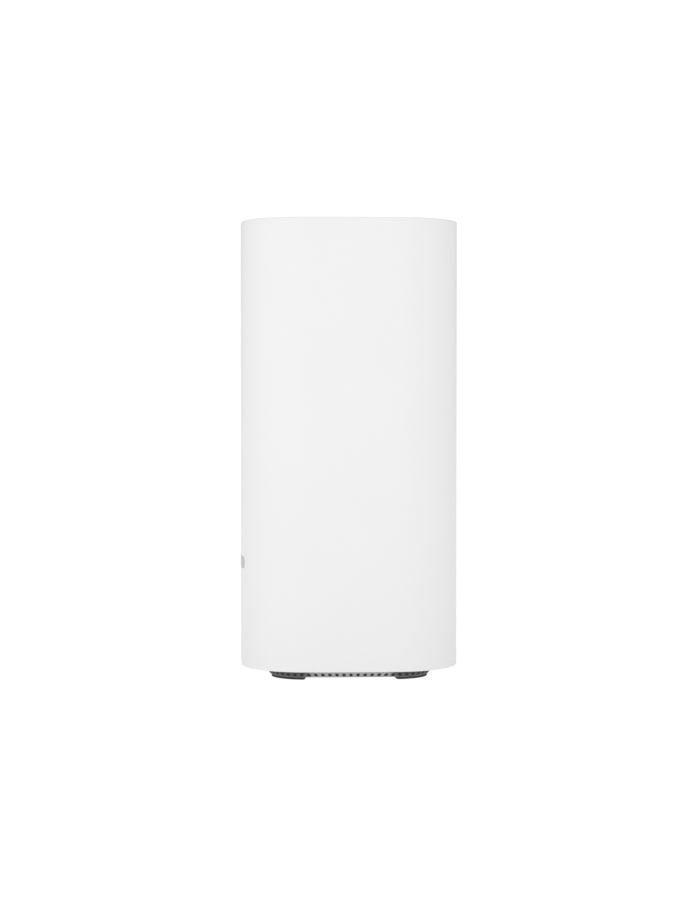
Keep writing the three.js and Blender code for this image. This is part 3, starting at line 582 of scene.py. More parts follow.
# ---- outer housing
(_, BAY_MIDDLE), (PANEL_HALF_WIDTH, PANEL_HALF_HEIGHT), PANEL_BACK, _ = rear_view("port_panel")
PANEL_FRONT = PANEL_BACK + 2 * MM
BAY_HALF_WIDTH = PANEL_HALF_WIDTH + GAP
BAY_HALF_HEIGHT = PANEL_HALF_HEIGHT + GAP
BAY_RADIUS = 8 * MM
BAY_LIP = 0.6 * MM
BAY_MARGIN = CROWN_RADIUS * math.sin(SIDE_REACH) - BAY_HALF_WIDTH
BAY_CORNER_STEPS = 5
BAY_STRAIGHT_X = BAY_HALF_WIDTH - BAY_RADIUS
BAY_STRAIGHT_Z = BAY_HALF_HEIGHT - BAY_RADIUS
SIDE_STEPS = 10
CORNER_STEPS = 24
REAR_START = SIDE_STEPS + CORNER_STEPS
NEARLY = 1e-9


def bay_spread(straight, straight_steps):
    """Offsets from the bay's middle: fine over its corners and the margin round it, even between them."""
    reach = straight + BAY_RADIUS + BAY_MARGIN
    first = spread(-reach, -straight, BAY_CORNER_STEPS) + spread(-straight, straight, straight_steps)
    return first + spread(straight, reach, BAY_CORNER_STEPS)


BAY_XS = bay_spread(BAY_STRAIGHT_X, 8)
BAY_ZS = bay_spread(BAY_STRAIGHT_Z, 14) + [BAY_HALF_HEIGHT + BAY_MARGIN]
BAY_ROWS = [BAY_MIDDLE + z for z in BAY_ZS]


def bay_edge_point(x, z, grow):
    """Where a point of the rectangle round the bay meets the bay's rounded edge, grown outwards by grow."""
    sign_x, sign_z = math.copysign(1, x), math.copysign(1, z)
    over_x, over_z = abs(x) - BAY_STRAIGHT_X, abs(z) - BAY_STRAIGHT_Z
    reach, radius = BAY_RADIUS + BAY_MARGIN, BAY_RADIUS + grow
    if over_x <= NEARLY:
        return (x, sign_z * (BAY_HALF_HEIGHT + grow))
    if over_z <= NEARLY:
        return (sign_x * (BAY_HALF_WIDTH + grow), z)
    angle = math.atan2(over_z, over_x)
    if over_x < reach - NEARLY:
        angle = QUARTER - QUARTER / 2 * over_x / reach
    elif over_z < reach - NEARLY:
        angle = QUARTER / 2 * over_z / reach
    across, up = radius * math.cos(angle), radius * math.sin(angle)
    return (sign_x * (BAY_STRAIGHT_X + across), sign_z * (BAY_STRAIGHT_Z + up))


def housing_profile():
    """(inset, height) round the housing's wall, up its outer face, over the rim and down the inner face."""
    outer = [(draw, HOUSING_BOTTOM + rise) for draw, rise in rounding(HOUSING_EDGE, spread(0, QUARTER, 6))]
    outer += [(0.0, z) for z in spread(HOUSING_BOTTOM + HOUSING_EDGE, BAY_ROWS[0], 3) + BAY_ROWS]
    outer += [(0.0, z) for z in spread(BAY_ROWS[-1], TOP - RIM_EDGE, 16)[1:]]
    rim = [(rise, TOP - draw) for draw, rise in rounding(RIM_EDGE, quarter_turn(6))]
    rim += [(MOUTH_INSET - draw, TOP - rise) for draw, rise in rounding(HOUSING_LIP, quarter_turn(4))]
    ledge = GRILLE_BOTTOM - GAP
    inside = [(MOUTH_INSET, ledge), (LEDGE_INSET, ledge), (LEDGE_INSET, COLLAR_BOTTOM)]
    inside += [(WALL, z) for z in [COLLAR_BOTTOM] + BAY_ROWS[::-1] + [HOUSING_BOTTOM + HOUSING_LIP]]
    return outer + rim + inside + [(WALL - HOUSING_LIP, HOUSING_BOTTOM)]


def bay_window(bm, profile, rings, columns):
    """Joins the outer and inner faces through the socket bay, with a rounded outer lip."""
    outer_first = profile.index((0.0, BAY_ROWS[0]))
    inner_first = profile.index((WALL, BAY_ROWS[0]))
    width, height = len(BAY_XS), len(BAY_ROWS) - 1
    steps = [(0, j) for j in range(width)] + [(i, width) for i in range(height)]
    steps += [(height, j) for j in range(width, 0, -1)] + [(i, 0) for i in range(height, 0, -1)]

    def edge(grow, inset):
        points = []
        for i, j in steps:
            x = column_point(columns[REAR_START + j], 0)[0]
            points.append(bay_edge_point(x, BAY_ZS[i], grow))
        return level(bm, [(x, BAY_MIDDLE + z) for x, z in points], inset, on_rear_face)

    outer_edge = [rings[outer_first + i][REAR_START + j] for i, j in steps]
    inner_edge = [rings[inner_first - i][REAR_START + j] for i, j in steps]
    lips = [edge(draw, rise) for draw, rise in rounding(BAY_LIP, quarter_turn(5))]
    skins(bm, [outer_edge, *lips, edge(0.0, WALL), inner_edge])


def outer_housing():
    sides = even_sides(SIDE_STEPS)
    sides[1] = [math.asin(x / CROWN_RADIUS) for x in BAY_XS]
    columns = plan_columns(sides, CORNER_STEPS)
    profile = housing_profile()
    bm = bmesh.new()
    rings = [level(bm, [column_point(c, inset) for c in columns], z) for inset, z in profile]
    window = range(REAR_START, REAR_START + len(BAY_XS))
    for i, (inset, z) in enumerate(profile):
        after = (i + 1) % len(profile)
        next_inset, next_z = profile[after]
        on_face = inset == next_inset and inset in (0.0, WALL)
        beside_bay = on_face and min(z, next_z) >= BAY_ROWS[0] and max(z, next_z) <= BAY_ROWS[-1]
        skin(bm, rings[i], rings[after], window if beside_bay else ())
    bay_window(bm, profile, rings, columns)
    finish_mesh("housing_body", bm, "outer_housing")


def front_nameplate():
    """A blank bar with round ends laid on the front face, lofted along its curve."""
    proud, sunk, edge, tip = 0.12 * MM, 0.4 * MM, 0.1 * MM, 0.03 * MM
    (_, middle), (half_width, half_height), _, _ = rear_view("front_nameplate")
    straight = half_width - half_height
    round_end = spread(0, QUARTER, 10)
    right = [(straight + half_height * math.sin(a), half_height * math.cos(a)) for a in round_end]
    right.append((half_width, tip))
    left = [(-x, height) for x, height in reversed(right)]
    stations = left + [(x, half_height) for x in spread(-straight, straight, 40)[1:]] + right

    def section(x, height):
        bevel = min(edge, height / 2)
        half = [(sunk, height)]
        half += [(draw - proud, height - rise) for draw, rise in rounding(bevel, EDGE_ANGLES)]
        half += [(-proud, (height - bevel) * share) for share in (0.66, 0.33)]
        whole = half + [(-proud, 0.0)] + [(inset, -z) for inset, z in reversed(half)]
        return [bm.verts.new((x, -surface_y(x, inset), middle + z)) for inset, z in whole]

    bm = bmesh.new()
    rings = [section(x, height) for x, height in stations]
    skins(bm, rings)
    bm.faces.new(rings[0])
    bm.faces.new(rings[-1])
    finish_mesh("nameplate_bar", bm, "front_nameplate")


# ---- slots shared by the skirt and the grille
def slot_outline(angle, outer_inset, inner_inset):
    """A radial slot between two insets, as a function of how far its edge moves outwards."""
    middle = (outer_inset + inner_inset) / 2
    half_length = (inner_inset - outer_inset) / 2
    nearest = round(angle / QUARTER) * QUARTER
    lean = angle - nearest
    on_side = abs(ray_reach(angle, middle) * math.sin(lean)) < CORNER_CENTRE
    normal = nearest if on_side else angle
    widen = 1 / math.cos(lean) if on_side else 1.0

    def at(grow=0.0):
        shape = rounded_rectangle(SLOT_HALF + grow, half_length + grow, SLOT_CORNER + grow, 3)
        points = []
        for across, along in shape:
            across *= widen
            reach = ray_reach(angle, middle - along)
            x = reach * math.cos(angle) - across * math.sin(normal)
            y = reach * math.sin(angle) + across * math.cos(normal)
            points.append((x, y))
        return points

    return at


def even_angles(count, inset):
    """Directions from the axis to points spaced evenly along the outline at an inset, from the +X side."""
    side_steps = 40
    columns = plan_columns(even_sides(side_steps), 2 * side_steps)
    columns = columns[side_steps // 2 :] + columns[: side_steps // 2 + 1]
    points = [column_point(column, inset) for column in columns]
    lengths = [0.0]
    for before, after in zip(points, points[1:]):
        lengths.append(lengths[-1] + math.dist(before, after))
    angles, j = [], 0
    for k in range(count):
        target = lengths[-1] * k / count
        while lengths[j + 1] < target:
            j += 1
        share = (target - lengths[j]) / (lengths[j + 1] - lengths[j])
        x, y = (p + (q - p) * share for p, q in zip(points[j], points[j + 1]))
        angles.append(math.atan2(y, x))
    return angles


def slot_band(count, outer_inset, inner_inset):
    middle = (outer_inset + inner_inset) / 2
    return [slot_outline(angle, outer_inset, inner_inset) for angle in even_angles(count, middle)]


# ---- top grille and status light
def top_grille():
    """A lid with an outer and an inner band of slots, and a hole for the status light."""
    (_, light_y), _, _ = top_view("status_light_pipe")
    outer_band = slot_band(64, 12.8 * MM, 20.4 * MM)
    inner_band = slot_band(44, 22.6 * MM, 30 * MM)
    light_hole = disc_outline(1.9 * MM, (0.0, light_y))

    def rim(grow):
        return outline(MOUTH_INSET + GAP - grow)

    bm = bmesh.new()
    holes = [*outer_band, *inner_band, light_hole]
    plate(bm, rim, holes, GRILLE_BOTTOM, GRILLE_TOP, 0.3 * MM)
    finish_mesh("grille_lid", bm, "top_grille")


def status_light():
    centre, bottom, top = top_view("status_light_pipe")
    radius, crown = 1.6 * MM, 0.05 * MM
    corners = [(0.0, bottom), (radius, bottom), (radius, top), (0.0, top + crown)]
    bm = bmesh.new()
    turned(bm, rounded_profile(corners, 0.4 * MM), 32, along_z(centre))
    finish_mesh("status_light_guide", bm, "status_light_pipe")


# ---- base tray
SKIRT_SIDE_INSET = 2.8 * MM
SKIRT_BOTTOM_INSET = 15 * MM
SKIRT_TOP_INSET = 11.5 * MM
SKIRT_SLOTS = 84
SKIRT_SLOT_START = 13.4 * MM
SKIRT_SLOT_END = 14.5 * MM
SKIRT_SLOT_EDGE = 0.15 * MM
SKIRT_FOLD = 0.2 * MM
FLOOR_TOP = TRAY_BOTTOM + FLOOR
LABEL_CLEARANCE = 0.5 * MM
LABEL_RECESS_TOP = LABEL_HIGH.z + 0.05 * MM
RESET_HOLE = 2.7 * MM
POST_OFFSET = 32.2 * MM
POST_RADIUS = 5.2 * MM
POST_TOP = 8.0 * MM
SCREW_HEAD_HOLE = 3.4 * MM
SCREW_SHANK_HOLE = 1.7 * MM
SCREW_SEAT = TRAY_BOTTOM + 2.5 * MM


def skirt_height(inset):
    """Height of the skirt's outer slope, which runs from the tray's floor up to the housing's lower edge."""
    share = (SKIRT_BOTTOM_INSET - inset) / (SKIRT_BOTTOM_INSET - SKIRT_TOP_INSET)
    return TRAY_BOTTOM + (HOUSING_BOTTOM - TRAY_BOTTOM) * min(max(share, 0.0), 1.0)


def lift(verts, rise):
    """Raises points drawn flat in plan onto the skirt's slope."""
    for vert in verts:
        vert.co.z = skirt_height(inset_at(vert.co.x, vert.co.y)) + rise


def plan_ring(bm, inset, height=0.0):
    return level(bm, outline(inset), height)


def skirt(bm):
    """The slotted slope and the wall inside the housing; gives the rings where the floor starts."""
    below = [plan_ring(bm, inset) for inset in (SKIRT_TOP_INSET, SKIRT_BOTTOM_INSET - SKIRT_FOLD)]
    lower_floor = plan_ring(bm, SKIRT_BOTTOM_INSET + SKIRT_FOLD, TRAY_BOTTOM)
    above = [plan_ring(bm, inset) for inset in (SKIRT_TOP_INSET, SKIRT_BOTTOM_INSET)]
    edge = SKIRT_SLOT_EDGE
    slots = []
    for slot in slot_band(SKIRT_SLOTS, SKIRT_SLOT_START, SKIRT_SLOT_END):
        slots.append([level(bm, slot(grow), 0.0) for grow in (edge, edge * 0.3, 0.0, 0.0)])
    fill(bm, below + [rings[0] for rings in slots])
    fill(bm, above + [rings[-1] for rings in slots])
    lift(below[0] + below[1], 0.0)
    lift(above[0] + above[1], FLOOR)
    for rings in slots:
        skins(bm, rings)
        for loop, rise in zip(rings, (0.0, edge * 0.3, edge, FLOOR)):
            lift(loop, rise)
    softened = plan_ring(bm, SKIRT_BOTTOM_INSET + SKIRT_FOLD * 0.2, TRAY_BOTTOM + SKIRT_FOLD * 0.2)
    skins(bm, [below[1], softened, lower_floor])
    outside = [plan_ring(bm, SKIRT_SIDE_INSET, z) for z in (HOUSING_BOTTOM, TRAY_HIGH.z)]
    inside = [plan_ring(bm, SKIRT_SIDE_INSET + FLOOR, z) for z in (TRAY_HIGH.z, HOUSING_BOTTOM + FLOOR)]
    skins(bm, [below[0], *outside, *inside, above[0]])
    return lower_floor, above[1]


def tray_floor(bm, lower, upper):
    """The floor between the skirt's rings, with the label's recess, the reset hole and the screw cups."""
    recess_half = (LABEL_HIGH.x + LABEL_CLEARANCE, LABEL_HIGH.y + LABEL_CLEARANCE)
    label = box_outline(*recess_half, 3 * MM, (0.0, 0.0), 6)
    recess = wall(bm, label, ((0.0, TRAY_BOTTOM), (0.0, LABEL_RECESS_TOP)))
    fill(bm, recess[1:])
    reset = disc_outline(RESET_HOLE, top_view("reset_button")[0], 32)
    through = wall(bm, reset, ((0.0, TRAY_BOTTOM), (0.0, FLOOR_TOP)))
    below, above = [lower, recess[0], through[0]], [upper, through[1]]
    cup = (
        (SCREW_HEAD_HOLE, TRAY_BOTTOM),
        (SCREW_HEAD_HOLE, SCREW_SEAT),
        (SCREW_SHANK_HOLE, SCREW_SEAT),
        (SCREW_SHANK_HOLE, POST_TOP),
        (POST_RADIUS, POST_TOP),
        (POST_RADIUS, FLOOR_TOP),
    )
    for x in (-POST_OFFSET, POST_OFFSET):
        for y in (-POST_OFFSET, POST_OFFSET):
            post = wall(bm, disc_outline(0.0, (x, y), 32), cup)
            below.append(post[0])
            above.append(post[-1])
    fill(bm, below)
    fill(bm, above)


def base_tray():
    """The skirt and the floor in one. Faces behind the skirt's slope are painted black as shade, so its slots look
    deep.
    """
    bm = bmesh.new()
    tray_floor(bm, *skirt(bm))
    # Painted shade: faces behind the slope get the second material, black, for the dark inside seen through the
    # slots.
    for face in bm.faces:
        middle = face.calc_center_median()
        inset = inset_at(middle.x, middle.y)
        behind = middle.z - skirt_height(inset) > SKIRT_SLOT_EDGE / 2
        if behind and SKIRT_TOP_INSET < inset < SKIRT_BOTTOM_INSET:
            face.material_index = 1
    # The skirt's material carries painted shade near the feet.
    tray = finish_mesh("skirt_and_floor", bm, "base_tray", look="skirt_plastic_painted_shade")
    # Black plastic here is painted shade, not the tray's own colour.
    tray.data.materials.append(MATERIALS["black_plastic"])


FOOT_INNER = 9.6 * MM
FOOT_OUTER = 18.7 * MM
FOOT_SWEEP = QUARTER / 2 - math.radians(4)


def rubber_foot(node):
    """An arc-shaped pad round the tower's corner centre, with rounded ends and edges."""
    centre, _, top = top_view(node)
    sign_x, sign_y = (math.copysign(1, value) for value in centre)
    middle = (FOOT_INNER + FOOT_OUTER) / 2
    half_width = (FOOT_OUTER - FOOT_INNER) / 2
    straight_pad = box_outline(half_width, middle * FOOT_SWEEP, 1.6 * MM, (0.0, 0.0), 6, 14)

    def pad(grow):
        points = []
        for across, along in straight_pad(grow):
            angle = QUARTER / 2 + along / middle
            reach = middle + across
            x = sign_x * (CORNER_CENTRE + reach * math.cos(angle))
            y = sign_y * (CORNER_CENTRE + reach * math.sin(angle))
            points.append((x, y))
        return points

    bm = bmesh.new()
    plate(bm, pad, [], 0.0, top, 0.45 * MM)
    finish_mesh(f"rubber_{node}", bm, node)


def rating_plate():
    label = box_outline(LABEL_HIGH.x, LABEL_HIGH.y, 2.5 * MM, (0.0, 0.0), 8)
    bm = bmesh.new()
    plate(bm, label, [], LABEL_LOW.z, LABEL_HIGH.z, 0.08 * MM)
    finish_mesh("blank_label", bm, "rating_plate")


# ---- socket bay
JACKS = ("internet_jack", "lan_jack_1", "lan_jack_2", "lan_jack_3")
BAY_RIM = 1.8 * MM
RIM_INSET = 0.8 * MM
RIM_LIP = 0.5 * MM
BAY_FILLET = 0.8 * MM
HOLE_CHAMFER = 0.25 * MM
PAIRING_HOLE = 4.2 * MM
BEZEL_OVERHANG = 1.2 * MM
HOLE_CORNER = 0.4 * MM


def port_panel():
    """The bay's floor with its socket holes, and the rim that follows the rear face."""
    middle = (0.0, BAY_MIDDLE)
    edge = box_outline(PANEL_HALF_WIDTH, PANEL_HALF_HEIGHT, BAY_RADIUS - GAP, middle, 8, 6)
    rim = [(-rise, RIM_INSET + draw) for draw, rise in rounding(RIM_LIP, EDGE_ANGLES)]
    rim += [(draw - BAY_RIM, RIM_INSET + rise) for draw, rise in rounding(RIM_LIP, (0.0, 0.6, 1.1, QUARTER))]
    cove = [(-BAY_RIM - rise, PANEL_FRONT + draw) for draw, rise in rounding(BAY_FILLET, EDGE_ANGLES)]
    bm = bmesh.new()
    rings = [level(bm, edge(), PANEL_BACK, facing_rear)]
    rings += [level(bm, edge(grow), inset, on_rear_face) for grow, inset in rim]
    rings += [level(bm, edge(grow), y, facing_rear) for grow, y in cove]
    skins(bm, rings)

    holes = [node_outline(jack, GAP, HOLE_CORNER) for jack in JACKS]
    holes.append(node_outline("usb_port", GAP, 0.5 * MM))
    holes.append(node_outline("dc_jack", GAP, HOLE_CORNER))
    holes.append(node_outline("power_switch_body", GAP - BEZEL_OVERHANG, HOLE_CORNER))
    holes.append(disc_outline(PAIRING_HOLE, rear_view("pairing_button")[0]))
    steps = ((0.0, PANEL_BACK), (0.0, PANEL_FRONT - HOLE_CHAMFER), (HOLE_CHAMFER, PANEL_FRONT))
    close(bm, [rings] + [wall(bm, hole, steps, facing_rear) for hole in holes])
    finish_mesh("socket_bay", bm, "port_panel")


def hollow_block(bm, outside, inside):
    """Flat faces that close a block round its blind mouth, from the rings of both walls."""
    fill(bm, outside[:1])
    fill(bm, [outside[-1], inside[0]])
    fill(bm, inside[-1:])


def socket_block(name, node, outer, mouth, depth, edge=0.25 * MM):
    """A block facing the rear with a blind mouth, from the outline functions of both."""
    _, _, back, front = rear_view(node)
    lead = 0.3 * MM
    outer_steps = ((0.0, back), (0.0, front - edge), (-0.3 * edge, front - 0.3 * edge), (-edge, front))
    mouth_steps = ((lead, front), (0.0, front - lead), (0.0, front - depth))
    bm = bmesh.new()
    outside = wall(bm, outer, outer_steps, facing_rear)
    hollow_block(bm, outside, wall(bm, mouth, mouth_steps, facing_rear))
    finish_mesh(name, bm, node)


CONTACT_PATH = ((2.0, 0.5), (3.0, 1.0), (9.5, 4.0), (10.4, 3.9), (13.9, 2.0))


def network_jack(node):
    """A network socket: its stepped mouth, and the eight sprung contacts inside.

    CONTACT_PATH has each contact's bends in mm, as how deep in the mouth and how far below its top.
    """
    (x, z), _, _, front = rear_view(node)
    mouth_top = z + 5.15 * MM
    mouth_bottom = mouth_top - 7.2 * MM
    shelf = mouth_bottom - 1.6 * MM
    key = shelf - 1.3 * MM
    wide, latch, slim = 5.9 * MM, 3.2 * MM, 1.8 * MM
    left = [(wide, mouth_top), (wide, mouth_bottom), (latch, mouth_bottom)]
    left += [(latch, shelf), (slim, shelf), (slim, key)]
    corners = [(x - across, up) for across, up in left] + [(x + across, up) for across, up in reversed(left)]
    block = node_outline(node, 0.0, 0.4 * MM)
    socket_block(f"{node}_block", node, block, polygon_outline(corners), depth=14 * MM)

    contacts, pitch, half, thick = 8, 1.02 * MM, 0.17 * MM, 0.12 * MM
    bm = bmesh.new()
    for i in range(contacts):
        centre = x + (i - (contacts - 1) / 2) * pitch
        left, right = centre - half, centre + half
        rings = []
        for depth, drop in CONTACT_PATH:
            low, high = mouth_top - drop * MM - thick, mouth_top - drop * MM + thick
            points = [(left, low), (right, low), (right, high), (left, high)]
            rings.append(level(bm, points, front - depth * MM, facing_rear))
        skins(bm, rings)
        bm.faces.new(rings[0])
        bm.faces.new(rings[-1])
    finish_mesh(f"{node}_contacts", bm, slot="brass", smooth_angle=50)


def usb_socket():
    """A sheet-metal sleeve with a flared lip, a blue tongue and its flat contacts."""
    sleeve = node_outline("usb_port", 0.0, 1.2 * MM, 5)
    mouth = node_outline("usb_port", -0.9 * MM, 0.6 * MM, 5)
    socket_block("usb_sleeve", "usb_port", sleeve, mouth, depth=18 * MM, edge=0.2 * MM)

    centre, half, back, front = rear_view("usb_tongue")
    bm = bmesh.new()
    plate(bm, node_outline("usb_tongue", 0.0, 0.35 * MM, 4), [], back, front, 0.3 * MM, facing_rear)
    finish_mesh("usb_blade", bm, "usb_tongue")

    contacts, pitch = 4, 2.5 * MM
    height = centre[1] - half[1] - 0.02 * MM
    bm = bmesh.new()
    for i in range(contacts):
        place = (centre[0] + (i - (contacts - 1) / 2) * pitch, height)
        contact = box_outline(0.5 * MM, 0.06 * MM, 0.03 * MM, place, 2)
        plate(bm, contact, [], front - 9 * MM, front - 0.9 * MM, 0.03 * MM, facing_rear)
    finish_mesh("usb_contacts", bm, slot="brass")


def power_inlet():
    centre, _, _, _ = rear_view("dc_jack")
    mouth = disc_outline(2.95 * MM, centre, 48)
    block = node_outline("dc_jack", 0.0, 1.0 * MM, 5)
    socket_block("power_inlet_block", "dc_jack", block, mouth, depth=11 * MM, edge=0.3 * MM)
    _, (radius, _), back, front = rear_view("dc_jack_pin")
    corners = [(0.0, back), (radius, back), (radius, front), (0.0, front)]
    bm = bmesh.new()
    turned(bm, rounded_profile(corners, 0.7 * MM, 6), 28, along_y(centre))
    finish_mesh("power_inlet_pin", bm, "dc_jack_pin")


# ---- power switch and buttons
ROCKER_HALF_LENGTH = 5.7 * MM
ROCKER_HALF_WIDTH = 3.6 * MM
ROCKER_END = 2.9 * MM
ROCKER_DISH = 1.0 * MM
ROCKER_BEND = 24
ROCKER_TILT = math.radians(11)
BEZEL_EDGE = 0.6 * MM
CAVITY_CHAMFER = 0.2 * MM
CAVITY_REACH = 6.6 * MM


def power_switch():
    """The snap-in frame with its bezel, and the dished rocker in it."""
    pivot = Vector(next(j["pos_m"] for j in frame["joints"] if j["name"] == "power_rocker_tilt"))
    centre, _, back, front = rear_view("power_switch_body")
    bezel = node_outline("power_switch_body", 0.0, 1.4 * MM, 6)
    barrel = node_outline("power_switch_body", -BEZEL_OVERHANG, 0.3 * MM, 6)
    cavity = box_outline(6.5 * MM, 3.9 * MM, 0.3 * MM, centre, 6)
    seat = PANEL_FRONT + 0.05 * MM
    bm = bmesh.new()
    outside = [level(bm, barrel(), y, facing_rear) for y in (back, seat)]
    outside.append(level(bm, bezel(), seat, facing_rear))
    for draw, rise in rounding(BEZEL_EDGE, EDGE_ANGLES):
        outside.append(level(bm, bezel(-rise), front - draw, facing_rear))
    skins(bm, outside)
    steps = ((CAVITY_CHAMFER, front), (0.0, front - CAVITY_CHAMFER), (0.0, pivot.y - CAVITY_REACH))
    hollow_block(bm, outside, wall(bm, cavity, steps, facing_rear))
    finish_mesh("switch_frame", bm, "power_switch_body")
    rocker(pivot)
    rocker_marks(pivot)


def rocker_face(x):
    """Height of the rocker's dished face over its pivot, before it is tilted."""
    bend = math.sqrt(1 + ROCKER_BEND * (x / ROCKER_HALF_LENGTH) ** 2)
    steepest = math.sqrt(1 + ROCKER_BEND)
    return ROCKER_END - ROCKER_DISH * (steepest - bend) / (steepest - 1)


def tilted(pivot, x, y):
    """A point drawn about the pivot at mid travel, laid over to the rocker's rest side."""
    c, s = math.cos(ROCKER_TILT), math.sin(ROCKER_TILT)
    return (pivot.x + x * c - y * s, pivot.y + x * s + y * c)


def rocker(pivot):
    reach = ROCKER_HALF_LENGTH
    face = [(x, rocker_face(x)) for x in spread(reach, -reach, 16)] + [(-reach, ROCKER_END)]
    belly = [(reach * math.cos(a), reach * math.sin(a)) for a in spread(2 * QUARTER, 4 * QUARTER, 20)]
    shape = face + belly + [(reach, 0.0)]

    def side(grow):
        scale = (reach + grow) / reach
        return [(x * scale, y * scale) for x, y in shape]

    def place(x, y, height):
        return (*tilted(pivot, x, y), pivot.z + height)

    bm = bmesh.new()
    plate(bm, side, [], -ROCKER_HALF_WIDTH, ROCKER_HALF_WIDTH, 0.45 * MM, place)
    finish_mesh("rocker_key", bm, "power_rocker", "rocker", smooth_angle=28)


def rocker_marks(pivot):
    """The plain line and ring that mark on and off, printed on the rocker's two faces."""
    lift_off, thick, edge, stroke = 0.02 * MM, 0.05 * MM, 0.02 * MM, 0.2 * MM
    radius, from_middle = 0.95 * MM, 3.4 * MM

    def place(x, z, height):
        return (*tilted(pivot, x, rocker_face(x) + lift_off + height), pivot.z + z)

    line = box_outline(stroke / 2, 1.0 * MM, 0.08 * MM, (-from_middle, 0.0), 3)
    disc, hole = (disc_outline(r, (from_middle, 0.0), 32) for r in (radius, radius - stroke))
    bm = bmesh.new()
    plate(bm, line, [], 0.0, thick, edge, place)
    plate(bm, disc, [hole], 0.0, thick, edge, place)
    finish_mesh("rocker_marks", bm, None, "rocker", "printed_grey")


BUTTON_DISH = 0.35 * MM


def push_button(name, node, body, radii, stations, place):
    """A turned button: stem, retaining flange and a cap with a shallow finger dish.

    radii are those of the stem, the flange and the cap. stations along the axis are the stem's end, the
    flange's two sides and the cap's face.
    """
    stem, flange, cap = radii
    end, flange_start, flange_end, face = stations
    dish = math.copysign(BUTTON_DISH, face - end)
    corners = [(0.0, end), (stem, end), (stem, flange_start)]
    corners += [(flange, flange_start), (flange, flange_end), (cap, flange_end), (cap, face)]
    corners += [(cap * 0.75, face), (cap * 0.45, face - 0.8 * dish), (0.0, face - dish)]
    bm = bmesh.new()
    turned(bm, rounded_profile(corners, 0.35 * MM), 48, place)
    finish_mesh(name, bm, node, body)


def buttons():
    centre, _, back, front = rear_view("pairing_button")
    flange = PANEL_BACK - 0.4 * MM
    stations = (back, flange - 1.1 * MM, flange, front)
    radii = (1.8 * MM, 5.2 * MM, 3.9 * MM)
    push_button("pairing_cap", "pairing_button", "pairing_key", radii, stations, along_y(centre))
    centre, bottom, top = top_view("reset_button")
    flange = FLOOR_TOP + GAP
    stations = (top, flange + 0.9 * MM, flange, bottom)
    radii = (1.4 * MM, 3.6 * MM, 2.4 * MM)
    push_button("reset_cap", "reset_button", "reset_key", radii, stations, along_z(centre))


# ---- stage, light and camera
TABLE_GLOW = 1.12
TABLE_SHARE = 0.88
TABLE_SHADE = 0.86
TABLE_SHADE_START = 60 * MM
TABLE_SHADE_END = 180 * MM
TABLE_REACH = 40.0
SURROUND_SEEN = 1.05
SURROUND_FRONT = 0.85
SURROUND_BACK = 0.5
WHITE_LIGHT = (1.0, 1.0, 1.0, 1.0)


def table_strength(nodes):
    """The table's glow: even to the camera, but as a light it fades near the tower, where it is shaded."""
    away = nodes.add("ShaderNodeVectorMath", {"operation": "LENGTH"}, Vector=nodes.place).outputs["Value"]
    lit = nodes.ramp(away, TABLE_SHADE_START, TABLE_SHADE_END, TABLE_SHADE, 1.0)
    seen = nodes.add("ShaderNodeLightPath").outputs["Is Camera Ray"]
    return nodes.math("MULTIPLY", nodes.math("MAXIMUM", seen, lit), TABLE_GLOW)


def floor_material():
    """A lit white table: it glows almost as brightly as the surroundings and takes only faint shadows."""
    nodes = Nodes(bpy.data.materials.new("studio_floor"))
    cloth = nodes.blend_colours(nodes.span(nodes.noise(6.0)), (0.92, 0.92, 0.92), (0.94, 0.94, 0.94))
    matt = nodes.add("ShaderNodeBsdfPrincipled", Base_Color=cloth, Roughness=0.9)
    glow = nodes.add("ShaderNodeEmission", Color=WHITE_LIGHT, Strength=table_strength(nodes))
    return nodes.mixed_surface(TABLE_SHARE, matt, glow)


def floor():
    corners = [(x * TABLE_REACH, y * TABLE_REACH, 0.0) for x, y in ((-1, -1), (1, -1), (1, 1), (-1, 1))]
    mesh = bpy.data.meshes.new("studio_floor")
    mesh.from_pydata(corners, [], [(0, 1, 2, 3)])
    mesh.materials.append(floor_material())
    plane = bpy.data.objects.new("studio_floor", mesh)
    bpy.context.scene.collection.objects.link(plane)


def surroundings():
    """White to the camera; as a light, brighter on the camera's side of the tower than behind it."""
    world = bpy.data.worlds.new("studio")
    bpy.context.scene.world = world
    nodes = Nodes(world, "ShaderNodeOutputWorld")
    direction = nodes.add("ShaderNodeTexCoord").outputs["Generated"]
    facing = nodes.add("ShaderNodeSeparateXYZ", Vector=direction).outputs["X"]
    strength = nodes.ramp(facing, -0.6, 0.9, SURROUND_BACK, SURROUND_FRONT)
    lighting = nodes.add("ShaderNodeBackground", Color=WHITE_LIGHT, Strength=strength)
    seen = nodes.add("ShaderNodeBackground", Color=WHITE_LIGHT, Strength=SURROUND_SEEN)
    nodes.mixed_surface(nodes.add("ShaderNodeLightPath").outputs["Is Camera Ray"], lighting, seen)


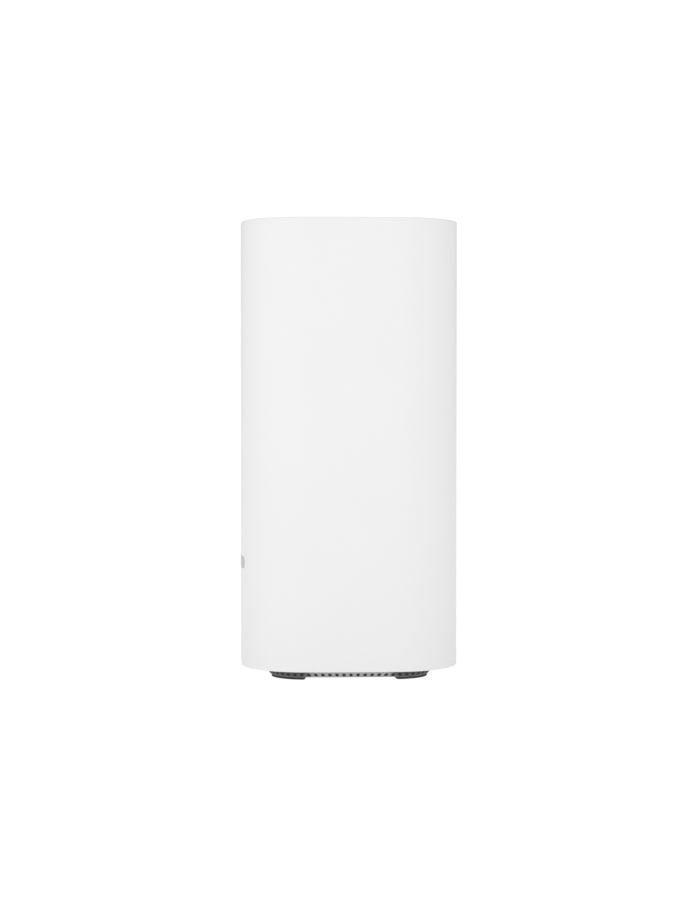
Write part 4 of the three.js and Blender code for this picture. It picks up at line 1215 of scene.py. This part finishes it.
def softbox(name, place, size, power):
    """A rectangular lamp aimed at the tower's middle."""
    light = bpy.data.lights.new(name, "AREA")
    light.shape = "RECTANGLE"
    light.size, light.size_y = size
    light.energy = power
    lamp = bpy.data.objects.new(name, light)
    lamp.location = place
    aim = Vector((0.0, 0.0, TOP / 2)) - Vector(place)
    lamp.rotation_euler = aim.to_track_quat("-Z", "Y").to_euler()
    bpy.context.scene.collection.objects.link(lamp)


def lights():
    softbox("key_light", (1.6, -0.25, 0.35), (0.9, 1.2), power=2.45)
    softbox("front_light", (0.35, -1.5, 0.5), (0.9, 1.2), power=1.7)
    softbox("rear_light", (0.35, 1.5, 0.5), (0.9, 1.2), power=0.1)
    softbox("top_light", (0.0, 0.0, 1.7), (1.2, 1.2), power=2.0)


CAMERA_AZIMUTH = math.radians(87.4)
CAMERA_DISTANCE = 1.125
CAMERA_HEIGHT = 0.144
CAMERA_PITCH = math.radians(1.32)
CAMERA_LENS = 83.9
CAMERA_SHIFT = 0.0030


def camera():
    """The viewing angle of the reference: level with the tower, square to its +X side."""
    data = bpy.data.cameras.new("camera")
    data.lens = CAMERA_LENS
    data.sensor_width = 36.0
    data.shift_x = CAMERA_SHIFT
    eye = bpy.data.objects.new("camera", data)
    bpy.context.scene.collection.objects.link(eye)
    direction = Vector((math.sin(CAMERA_AZIMUTH), -math.cos(CAMERA_AZIMUTH), 0.0))
    eye.location = direction * CAMERA_DISTANCE + Vector((0.0, 0.0, CAMERA_HEIGHT))
    eye.rotation_euler = (QUARTER - CAMERA_PITCH, 0.0, CAMERA_AZIMUTH)
    bpy.context.scene.camera = eye


def colour_management():
    settings = bpy.context.scene.view_settings
    settings.view_transform = "Standard"
    settings.look = "None"
    settings.exposure = 0.0
    settings.gamma = 1.0


# ---- the whole scene
finish_cad_nodes()
outer_housing()
front_nameplate()
top_grille()
status_light()
base_tray()
rating_plate()
for node in SLOTS:
    if node.startswith("foot_"):
        rubber_foot(node)
port_panel()
for jack in JACKS:
    network_jack(jack)
usb_socket()
power_inlet()
power_switch()
buttons()
floor()
surroundings()
lights()
camera()
colour_management()
